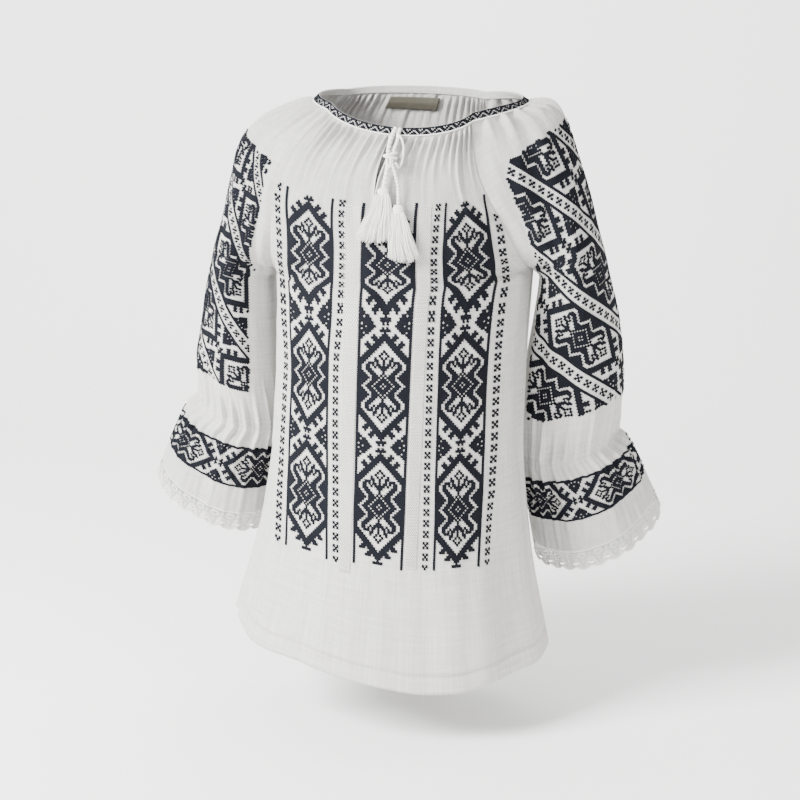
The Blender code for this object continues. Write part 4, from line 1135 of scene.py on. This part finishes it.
def neck_line():
    """The neckband's lower and upper line, from one side of the slit round to the other."""
    lows, highs = [], []
    steps = BAND_FINE * 4
    for piece, start, end, shift in (("front", 0, 1, 1), ("sleeve_right", -1, 1, 0), ("back", 1, -1, 0),
                                     ("sleeve_left", 1, -1, 0), ("front", -1, 0, -1)):
        across = np.linspace(start, end, steps)
        low = base_point(piece, 0 * across, across)
        high = low + band_upward(low, base_point(piece, 0 * across + BAND_BELOW, across)) * BAND_HEIGHT
        moved = shift * SLIT_HALF * np.clip(1 - np.abs(across) / SLIT_REACH, 0, 1)[:, None] * (1, 0, 0)
        lows.append((low + moved)[:-1])
        highs.append((high + moved)[:-1])
    return np.concatenate(lows), np.concatenate(highs)


neck_low, neck_high = neck_line()
neck_run = np.concatenate(((0,), np.cumsum(np.linalg.norm(np.diff(neck_low, axis=0), axis=1))))


def neck_at(run, rise, lift):
    """Places on the neckband: run metres along it, rise from 0 below to 1 above, lift metres out from its middle."""
    def line(points, at):
        return np.stack([np.interp(at, neck_run, points[:, k]) for k in range(3)], -1)
    low, high = line(neck_low, run), line(neck_high, run)
    after, before = [line(neck_low, np.clip(run + step, 0, neck_run[-1])) for step in (BAND_LOOK, -BAND_LOOK)]
    ahead = after - before
    outward = np.cross(high - low, ahead)
    outward /= length_of(outward)
    outward = outward * np.sign((outward * (low - neck_low.mean(0)))[..., :2].sum(-1, keepdims=True))
    return low + (high - low) * rise[..., None] + outward * lift[..., None], outward, ahead / length_of(ahead)


columns = int(neck_run[-1] / BAND_STEP)
profile = BAND_PROFILE + tuple((rise, -side) for rise, side in BAND_PROFILE[::-1])
run = np.linspace(0, neck_run[-1], columns)
rings = [neck_at(run, np.full(columns, rise), np.full(columns, side * BAND_THICK / 2))[0] for rise, side in profile]
points = np.stack(rings, 1)
k = np.arange(columns * len(profile)).reshape(columns, len(profile))
beside = np.roll(k, -1, axis=1)
faces = np.stack((k[:-1], beside[:-1], beside[1:], k[1:]), -1).reshape(-1, 4).tolist()
faces += [k[0, ::-1].tolist(), k[-1].tolist()]
U, V = np.meshgrid(np.linspace(0, BAND_CLOTH, len(profile)), run)
band = make_mesh("neckband_cloth", points, faces, np.stack((V, U), -1).reshape(-1, 2))
dress(band, cotton, "neckband", "neckband")
edge_run = np.linspace(EDGE_INSET, neck_run[-1] - EDGE_INSET, int(neck_run[-1] / EDGE_STEP))
edge_path = neck_at(edge_run, np.full(edge_run.shape, EDGE_RISE),
                    np.full(edge_run.shape, BAND_THICK / 2 + EDGE_LIFT))[0]
edge = make_mesh("neckband_edge", *twisted_tube(edge_path, BAND_EDGE, 2, EDGE_PITCH, EDGE_SIDES))
dress(edge, white_thread, "neckband")

band_cells = int(neck_run[-1] / DIAMOND_WIDE)
C, R = [grid.ravel() for grid in np.meshgrid(np.arange(band_cells), np.arange(len(DIAMOND)))]
diamond = np.array([[mark == "#" for mark in row] for row in DIAMOND])
pick = diamond[R, C % len(DIAMOND[0])]
run = (C[pick] + 0.5) * neck_run[-1] / band_cells
rise = 1 - (R[pick] + DIAMOND_START) / DIAMOND_ROWS
places, outward, along = neck_at(run, rise, np.full(run.shape, BAND_THICK / 2 + DIAMOND_LIFT))
sizes = np.tile((neck_run[-1] / band_cells, BAND_HEIGHT / DIAMOND_ROWS, DIAMOND_RELIEF), (len(run), 1))
sew("stitches_neckband", (places, outward, along, sizes), cross_stitch, floss, "neckband")

# Lace
# Scalloped cotton lace on each frill's edge, made as a band: raised cord round the scallops and round a long hole
# between each two, with rows of small holes.
SCALLOPS = 24
LACE_COLUMNS = 24
LACE_ROWS = 32
LACE_DEPTH = 0.026
LACE_VALLEY = 0.0215
LENS_PLACE = 0.0177
LENS_WIDE = 0.0034
LENS_TALL = 0.0013
LACE_RIM = 0.0006
# Painted shade in the lace: the tone it is darkened to next to its holes, and the share of that shade on the ground
# between its raised cords.
LACE_SHADE = 0.16
LACE_GROUND_SHADE = 0.30
LACE_CORD = 0.0013
SCALLOP_ROUND = 0.8
LENS_CENTRE = 0.2
LENS_CORD = 1.35
LENS_CORD_HALF = 0.35
HEADER_CORDS = (0.0045, 0.0009)
HEADER_HALF = 0.0007
HEADER_HEIGHT = 0.8
LACE_CLOTH = 0.2
# How far down the frill ends, and the places above that end where the lace's fall and outward side are taken
FRILL_END = 3.0
FALL_FROM = 2.68
OUTWARD_FROM = 2.99
# Rows of small holes, one scallop wide, each with its row down the lace
LACE_CHART = (
    (3, "#.#.#.#.#.#.#.#.#.#.#.#."),
    (5, "#.#.#.############.#.#.#"),
    (7, "##.#.#####.##.#####.#.##"),
    (9, "###.#####.#..#.#####.###"),
    (12, "#.#.#.############.#.#.#"),
    (14, "######.#.#.##.#.#.######"),
    (17, "#######.###..###.#######"),
    (19, "########.######.########"),
    (21, "#########.####.#########"),
    (23, "##########.##.##########"),
    (26, "###########..###########"),
)
lace_cotton = cloth_material("lace_cotton", (0.72, 0.705, 0.67), (0.88, 0.87, 0.84), 0.85, 0.0009, 0.00018,
                             0.0004, 0.15)
lace_shaded = painted_shade_copy(lace_cotton, "lace_shaded", LACE_SHADE)


def lace_piece(side):
    """One cuff's lace, all round the frill: a mesh of faces with holes, bound by raised cords, with painted shade at
    the holes and on the ground between the cords.
    """
    piece = "frill_" + side
    columns = SCALLOPS * LACE_COLUMNS
    across = np.linspace(-1, 1, columns + 1)
    share = np.linspace(0, SCALLOPS, columns + 1) % 1
    away = np.minimum(share, 1 - share)
    deep = LACE_VALLEY + (LACE_DEPTH - LACE_VALLEY) * np.sin(math.pi * share) ** SCALLOP_ROUND
    edge = base_point(piece, np.full(across.shape, FRILL_END), across)
    fall = edge - base_point(piece, np.full(across.shape, FALL_FROM), across)
    fall /= length_of(fall)
    top = cloth_point(piece, np.full(across.shape, FRILL_END), across)
    outward = outward_of(piece, np.full(across.shape, OUTWARD_FROM), across)
    width = np.linalg.norm(np.diff(edge, axis=0), axis=1).sum() / SCALLOPS
    depth = np.linspace(0.0, 1, LACE_ROWS + 1)[:, None] * deep
    aside = np.where(share < 0.5, share, share - 1) * width
    spot_x = np.broadcast_to(aside, depth.shape)
    lens = np.hypot(spot_x / LENS_WIDE, (depth - LENS_PLACE) / LENS_TALL)
    row = np.arange(LACE_ROWS)[:, None]
    column = np.arange(columns)[None, :] % LACE_COLUMNS
    middle_lens = (lens[:-1, :-1] + lens[1:, :-1] + lens[1:, 1:] + lens[:-1, 1:]) / 4
    inner = middle_lens < 1.0
    gone = inner.copy()
    for r, line in LACE_CHART:
        gone |= (row == r) & np.array([mark == "." for mark in line])[column]
    rim = np.zeros(lens.shape, bool)
    for down in (0, 1):
        for right in (0, 1):
            rim[down:LACE_ROWS + down, right:columns + right] |= inner
    scale = np.where(rim & (lens > LENS_CENTRE), 1 / np.maximum(lens, LENS_CENTRE), 1)
    shift_x = spot_x * (scale - 1)
    shift_d = (depth - LENS_PLACE) * (scale - 1)
    along = np.gradient(edge, axis=0)
    along /= length_of(along)
    cord_edge = np.exp(-((deep - depth) / LACE_CORD) ** 2)
    cord_lens = np.exp(-((lens - LENS_CORD) / LENS_CORD_HALF) ** 2)
    cord_top = sum(np.exp(-((depth - place) / HEADER_HALF) ** 2) for place in HEADER_CORDS)
    height = LACE_RIM * np.maximum(np.maximum(cord_edge, cord_lens), HEADER_HEIGHT * np.clip(cord_top, 0, 1))
    points = (top + fall * (depth + shift_d)[..., None] + along * shift_x[..., None]
              + outward * height[..., None])
    faces = grid_faces(LACE_ROWS + 1, columns + 1)[~gone.ravel()]
    if side == "right":
        faces = faces[:, ::-1]
    uv = np.stack((np.broadcast_to(across * LACE_CLOTH, depth.shape), -depth), -1)
    made = make_mesh("lace_" + side, points, faces[:, ::-1], uv.reshape(-1, 2))
    # Painted shade: darkest at the edge of every hole, and partly over the ground away from the raised cords.
    shade_near_holes = np.zeros(lens.shape)
    for down in (0, 1):
        for right in (0, 1):
            spread = shade_near_holes[down:LACE_ROWS + down, right:columns + right]
            spread[gone] = 1
    ground = 1 - np.clip(height / LACE_RIM, 0, 1)
    shade = made.data.attributes.new("net", "FLOAT", "POINT")
    shade.data.foreach_set("value", np.maximum(shade_near_holes, LACE_GROUND_SHADE * ground).ravel().astype(np.float32))
    weld(made)
    dress(made, lace_shaded, "lace", "lace_" + side + "_front", "lace_" + side + "_back")


for side in ("left", "right"):
    lace_piece(side)

# Label
# A small woven label inside the back neck, left blank.
LABEL_WIDTH = 0.061
LABEL_HEIGHT = 0.017
LABEL_DROP = 0.004
LABEL_ROOM = 0.0027
LABEL_THICK = 0.0006
LABEL_BOW = 0.0006
LABEL_GRID = (9, 33)
label_satin = cloth_material("label_satin", (0.055, 0.050, 0.036), (0.125, 0.115, 0.085), 0.5, 0.0006, 0.00008,
                             0.0004, 0.3)
label_steps = (base_point("back", np.array((SMALL_STEP, 0)), np.array((0, SMALL_STEP)))
               - base_point("back", np.zeros(2), np.zeros(2)))
label_tall, label_wide = (length_of(label_steps)[:, 0] / SMALL_STEP).tolist()
drops = (LABEL_DROP + np.linspace(0, LABEL_HEIGHT, LABEL_GRID[0])) / label_tall
sides = np.linspace(-LABEL_WIDTH / 2, LABEL_WIDTH / 2, LABEL_GRID[1]) / label_wide
D, A = np.meshgrid(drops, sides, indexing="ij")
label_points = base_point("back", D, A)
label_out = outward_of("back", D, A)
label_bow = LABEL_BOW * np.cos(math.pi * np.linspace(-1, 1, LABEL_GRID[0]))[:, None, None]
inner = label_points - label_out * (LABEL_ROOM + LABEL_THICK + label_bow)
outer = label_points - label_out * (LABEL_ROOM + label_bow)
sheet_faces = grid_faces(*LABEL_GRID)
count = LABEL_GRID[0] * LABEL_GRID[1]
k = np.arange(count).reshape(LABEL_GRID)
ring = np.concatenate((k[0, :-1], k[:-1, -1], k[-1, :0:-1], k[:0:-1, 0]))
rim = np.stack((ring, np.roll(ring, -1), np.roll(ring, -1) + count, ring + count), -1)
faces = np.concatenate((sheet_faces, sheet_faces[:, ::-1] + count, rim))
uv = np.stack((A * label_wide, D * label_tall), -1).reshape(-1, 2)
label = make_mesh("label_woven", np.concatenate((inner.reshape(-1, 3), outer.reshape(-1, 3))), faces.tolist(),
                  np.concatenate((uv, uv)))
dress(label, label_satin, "label", "label")

# Drawstrings
# Two soft twisted cotton cords come out of the neckband at the slit and hang down the front. The left one is a
# doubled strand. They are knotted over each other once, with a loop of slack left at the side.
# Cord routes as seen from in front. The columns are x and z on the front panel, and how high the middle of
# the cord is above the cloth.
ROUTE_LEFT = (
    (-0.0029, -0.0300, 0.0004),
    (-0.0029, -0.0365, 0.0040),
    (-0.0040, -0.0440, 0.0078),
    (-0.0064, -0.0570, 0.0074),
    (-0.0066, -0.0710, 0.0070),
    (-0.0084, -0.0840, 0.0066),
    (-0.0100, -0.0960, 0.0066),
)
ROUTE_RIGHT = (
    (0.0026, -0.0305, 0.0002),
    (0.0028, -0.0370, 0.0044),
    (0.0038, -0.0450, 0.0092),
    (0.0010, -0.0570, 0.0132),
    (-0.0010, -0.0680, 0.0136),
    (0.0020, -0.0800, 0.0106),
    (0.0056, -0.0950, 0.0072),
    (0.0066, -0.1140, 0.0062),
)
CORD_LEFT_WIDE = 0.0052
CORD_RIGHT_WIDE = 0.0040
CORD_STEP = 0.0005
CORD_SIDES = 20
CORD_LEFT_PITCH = 0.0100
CORD_RIGHT_PITCH = 0.0078
STRANDS = 2
# The knot's two rings: how far up each lies and how much it tilts
KNOT_RINGS = ((0.0014, 0.25), (-0.0016, -0.18))
KNOT_WIDE = 0.0068
KNOT_DEEP = 0.0046
KNOT_STRAND = 0.0017
KNOT_PITCH = 0.0052
KNOT_STEPS = 40
KNOT_SIDES = 12
LOOP_STRAND = 0.0015
LOOP_PITCH = 0.0060
LOOP_STEP = 0.0006
RESAMPLE_FINE = 24
KNOT_PLACE = (-0.0030, -0.0625, 0.0125)
LOOP_SIDE = ((0.0030, -0.0380, 0.0085), (0.0085, -0.0450, 0.0100), (0.0108, -0.0560, 0.0100),
             (0.0095, -0.0680, 0.0098), (0.0060, -0.0740, 0.0096), (0.0032, -0.0700, 0.0150))
LOOP_SMALL = ((-0.0052, -0.0600, 0.0150), (-0.0062, -0.0680, 0.0140), (-0.0040, -0.0745, 0.0130),
              (-0.0022, -0.0710, 0.0140), (-0.0020, -0.0640, 0.0160))
cord_cotton = thread_material("cord_cotton", (0.70, 0.685, 0.65), (0.88, 0.87, 0.84), 0.72, 0.25, 900)


def on_front(x, z, height):
    """Places above the front panel, or above its neckband, seen from in front at x and z."""
    x, z, height = np.broadcast_arrays(np.asarray(x, float), np.asarray(z, float), np.asarray(height, float))
    down = np.full(x.shape, SLIT_END)
    across = np.zeros(x.shape)
    for _ in range(SEARCH_STEPS):
        here = panel_point("front", down, across)
        by_down = (panel_point("front", down + SMALL_STEP, across) - here) / SMALL_STEP
        by_across = (panel_point("front", down, across + SMALL_STEP) - here) / SMALL_STEP
        miss_x = x - here[..., 0]
        miss_z = z - here[..., 2]
        size = by_down[..., 0] * by_across[..., 2] - by_across[..., 0] * by_down[..., 2]
        down = np.maximum(0, down + (miss_x * by_across[..., 2] - by_across[..., 0] * miss_z) / size)
        across = across + (by_down[..., 0] * miss_z - miss_x * by_down[..., 2]) / size
    outward = np.cross(by_down, by_across)
    panel_place = here + outward / length_of(outward) * height[..., None]
    across = np.zeros(x.shape)
    for _ in range(SEARCH_STEPS):
        here = panel_point("front", 0, across)
        by_across = (panel_point("front", 0, across + SMALL_STEP) - here) / SMALL_STEP
        across = across + (x - here[..., 0]) / by_across[..., 0]
    upward = band_upward(here, panel_point("front", BAND_BELOW, across))
    outward = np.cross(by_across, upward)
    place = here + upward * ((z - here[..., 2]) / upward[..., 2])[..., None]
    band_place = place + outward / length_of(outward) * height[..., None]
    above = z > panel_point("front", 0.0, 0.0)[2]
    return np.where(above[..., None], band_place, panel_place)


def resampled(points, step):
    """A polyline's points at even steps, on a smooth curve through them."""
    points = np.asarray(points, float)
    at = np.arange(len(points))
    fine = np.linspace(0, len(points) - 1, RESAMPLE_FINE * len(points))
    line = np.stack([smooth(("at", "value"), tuple(zip(at, points[:, k])), "value", fine) for k in range(3)], -1)
    run = np.concatenate(((0,), np.cumsum(np.linalg.norm(np.diff(line, axis=0), axis=1))))
    even = np.linspace(0, run[-1], max(3, int(run[-1] / step)))
    return np.stack([np.interp(even, run, line[:, k]) for k in range(3)], -1)


def cord_path(route, step):
    return resampled(on_front(*np.array(route).T), step)


def add_cord(name, route, width, pitch):
    path = cord_path(route, CORD_STEP)
    made = make_mesh(name + "_twist", *twisted_tube(path, width / 2, STRANDS, pitch, CORD_SIDES))
    dress(made, cord_cotton, "cord", name)
    return made, path


cord_left, path_left = add_cord("cord_left", ROUTE_LEFT, CORD_LEFT_WIDE, CORD_LEFT_PITCH)
cord_right, path_right = add_cord("cord_right", ROUTE_RIGHT, CORD_RIGHT_WIDE, CORD_RIGHT_PITCH)

knot_centre = on_front(*KNOT_PLACE)
knot_turn = np.linspace(0, 2 * math.pi, KNOT_STEPS)
knot_parts = []
for knot_rise, knot_tilt in KNOT_RINGS:
    ring = np.stack((KNOT_WIDE * np.cos(knot_turn), KNOT_DEEP * np.sin(knot_turn),
                     knot_rise + knot_tilt * KNOT_WIDE * np.cos(knot_turn)), -1)
    knot_parts.append(twisted_tube(knot_centre + ring, KNOT_STRAND, STRANDS, KNOT_PITCH, KNOT_SIDES))
for loop in (LOOP_SIDE, LOOP_SMALL):
    knot_parts.append(twisted_tube(cord_path(loop, LOOP_STEP), LOOP_STRAND, STRANDS, LOOP_PITCH, KNOT_SIDES))
knot = make_mesh("cord_knot", *joined(knot_parts))
dress(knot, cord_cotton, "cord")

# Tassels
# A bundle of loose cotton threads hangs from each cord's end, bound by a wrapping of the same thread. The left
# head is flatter, the right one rounder, and the threads fan out over the front.
TASSEL_LEFT = dict(x=-0.0106, z=-0.0968, width=0.0118, head=0.0070, fringe=0.054, spread=0.0195, swing=-0.0090)
TASSEL_RIGHT = dict(x=0.0066, z=-0.1144, width=0.0116, head=0.0095, fringe=0.055, spread=0.0155, swing=0.0090)
TASSEL_THICK = 0.0052
TASSEL_HEIGHT = 0.0066
TASSEL_THREADS = 210
TASSEL_SEED = 11
THREAD_RADIUS = 0.00042
THREAD_SIDES = 4
THREAD_STEPS = 12
HEAD_SIDES = 28
HEAD_ROWS = 40
WRAP_TURNS = 7
WRAP_RELIEF = 0.045
# The head's half width, as shares of the threads' width, at heights from its bottom to its top
HEAD_OUTLINE = ((0, 0.12, 0.5, 0.8, 0.93, 1), (0.90, 1.0, 1.12, 0.92, 0.55, 0.06))
HEAD_FLAT = 0.62
HEAD_ABOVE = 0.0012
HEAD_OVERLAP = 0.8
THREAD_TIP = 0.55
SHARE_JITTER = 0.06
SHARE_EDGE = 1.05
EDGE_SHORTER = 0.10
SHORTEST = 0.90
THREAD_WANDER = 0.0016
WANDER_OUT = 0.4
FAN_CURVE = 0.8
SWING_CURVE = 1.2
FRINGE_THINNER = 0.35
RIPPLE = 0.0008
RIPPLE_RATES = (9, 6)


def thread_tubes(paths, radius):
    """Thin closed tubes along many paths of the same number of points."""
    count, steps = paths.shape[:2]
    along = np.gradient(paths, axis=1)
    along /= length_of(along)
    one = np.cross(along, (0.0, 1.0, 0.0))
    one /= length_of(one)
    two = np.cross(along, one)
    angle = np.linspace(0, 2 * math.pi, THREAD_SIDES, endpoint=False)
    taper = np.ones(steps)
    taper[-1] = THREAD_TIP
    points = (paths[:, :, None] + radius * taper[None, :, None, None]
              * (one[:, :, None] * np.cos(angle)[:, None] + two[:, :, None] * np.sin(angle)[:, None]))
    k = np.arange(count * steps * THREAD_SIDES).reshape(count, steps, THREAD_SIDES)
    beside = np.roll(k, -1, axis=2)
    faces = np.stack((k[:, :-1], beside[:, :-1], beside[:, 1:], k[:, 1:]), -1).reshape(-1, 4)
    ends = np.concatenate((k[:, 0, ::-1], k[:, -1]))
    return points.reshape(-1, 3), faces.tolist() + ends.tolist()


def add_tassel(name, size):
    chance = np.random.default_rng(TASSEL_SEED)
    share = chance.uniform(-1, 1, TASSEL_THREADS) + SHARE_JITTER * chance.normal(size=TASSEL_THREADS)
    share = np.clip(share, -SHARE_EDGE, SHARE_EDGE)
    layer = chance.uniform(-1, 1, TASSEL_THREADS)
    reach = size["fringe"] * (1 - EDGE_SHORTER * share ** 2) * chance.uniform(SHORTEST, 1.0, TASSEL_THREADS)
    wander = THREAD_WANDER * chance.normal(size=(TASSEL_THREADS, 2))
    fall = np.linspace(0, 1, THREAD_STEPS)
    root = size["width"] / 2
    width = root + (size["spread"] - root) * fall ** FAN_CURVE
    drop = reach[:, None] * fall
    x = (size["x"] + share[:, None] * width + size["swing"] * (drop / size["fringe"]) ** SWING_CURVE
         + wander[:, :1] * fall ** 2 + RIPPLE * np.sin(RIPPLE_RATES[0] * fall + RIPPLE_RATES[1] * layer[:, None]) * fall)
    z = size["z"] - HEAD_OVERLAP * size["head"] - drop
    height = (TASSEL_HEIGHT + layer[:, None] * TASSEL_THICK / 2 * (1 - FRINGE_THINNER * fall)
              + wander[:, 1:] * WANDER_OUT * fall)
    parts = [thread_tubes(on_front(x, z, height), THREAD_RADIUS)]
    rise = np.linspace(0, 1, HEAD_ROWS)
    angle = np.linspace(0, 2 * math.pi, HEAD_SIDES, endpoint=False)
    outline = np.interp(rise, *HEAD_OUTLINE)
    outline = outline * (1 + WRAP_RELIEF * np.cos(2 * math.pi * WRAP_TURNS * rise))
    bottom = on_front(size["x"], size["z"] - size["head"], TASSEL_HEIGHT)
    top = on_front(size["x"], size["z"] + HEAD_ABOVE, TASSEL_HEIGHT)
    beside = (on_front(size["x"] + SMALL_STEP, size["z"], TASSEL_HEIGHT)
              - on_front(size["x"], size["z"], TASSEL_HEIGHT))
    beside = beside / np.linalg.norm(beside)
    forward = np.cross(beside, (top - bottom) / np.linalg.norm(top - bottom))
    head = (bottom + (top - bottom) * rise[:, None, None]
            + outline[:, None, None] * (beside * (root * np.cos(angle))[:, None]
                                        + forward * (HEAD_FLAT * root * np.sin(angle))[:, None]))
    k = np.arange(HEAD_ROWS * HEAD_SIDES).reshape(HEAD_ROWS, HEAD_SIDES)
    turned = np.roll(k, -1, axis=1)
    faces = np.stack((k[:-1], turned[:-1], turned[1:], k[1:]), -1).reshape(-1, 4).tolist()
    faces += [k[0, ::-1].tolist(), k[-1].tolist()]
    parts.append((head, faces))
    made = make_mesh(name + "_threads", *joined(parts))
    dress(made, cord_cotton, "cord", name)
    return made


tassel_left = add_tassel("tassel_left", TASSEL_LEFT)
tassel_right = add_tassel("tassel_right", TASSEL_RIGHT)


# The one-stitch helpers are removed. Each cord's length runs from the slit to the tassel that it ends in.
for helper in (cross_stitch, net_knot, running_stitch):
    bpy.data.objects.remove(helper)
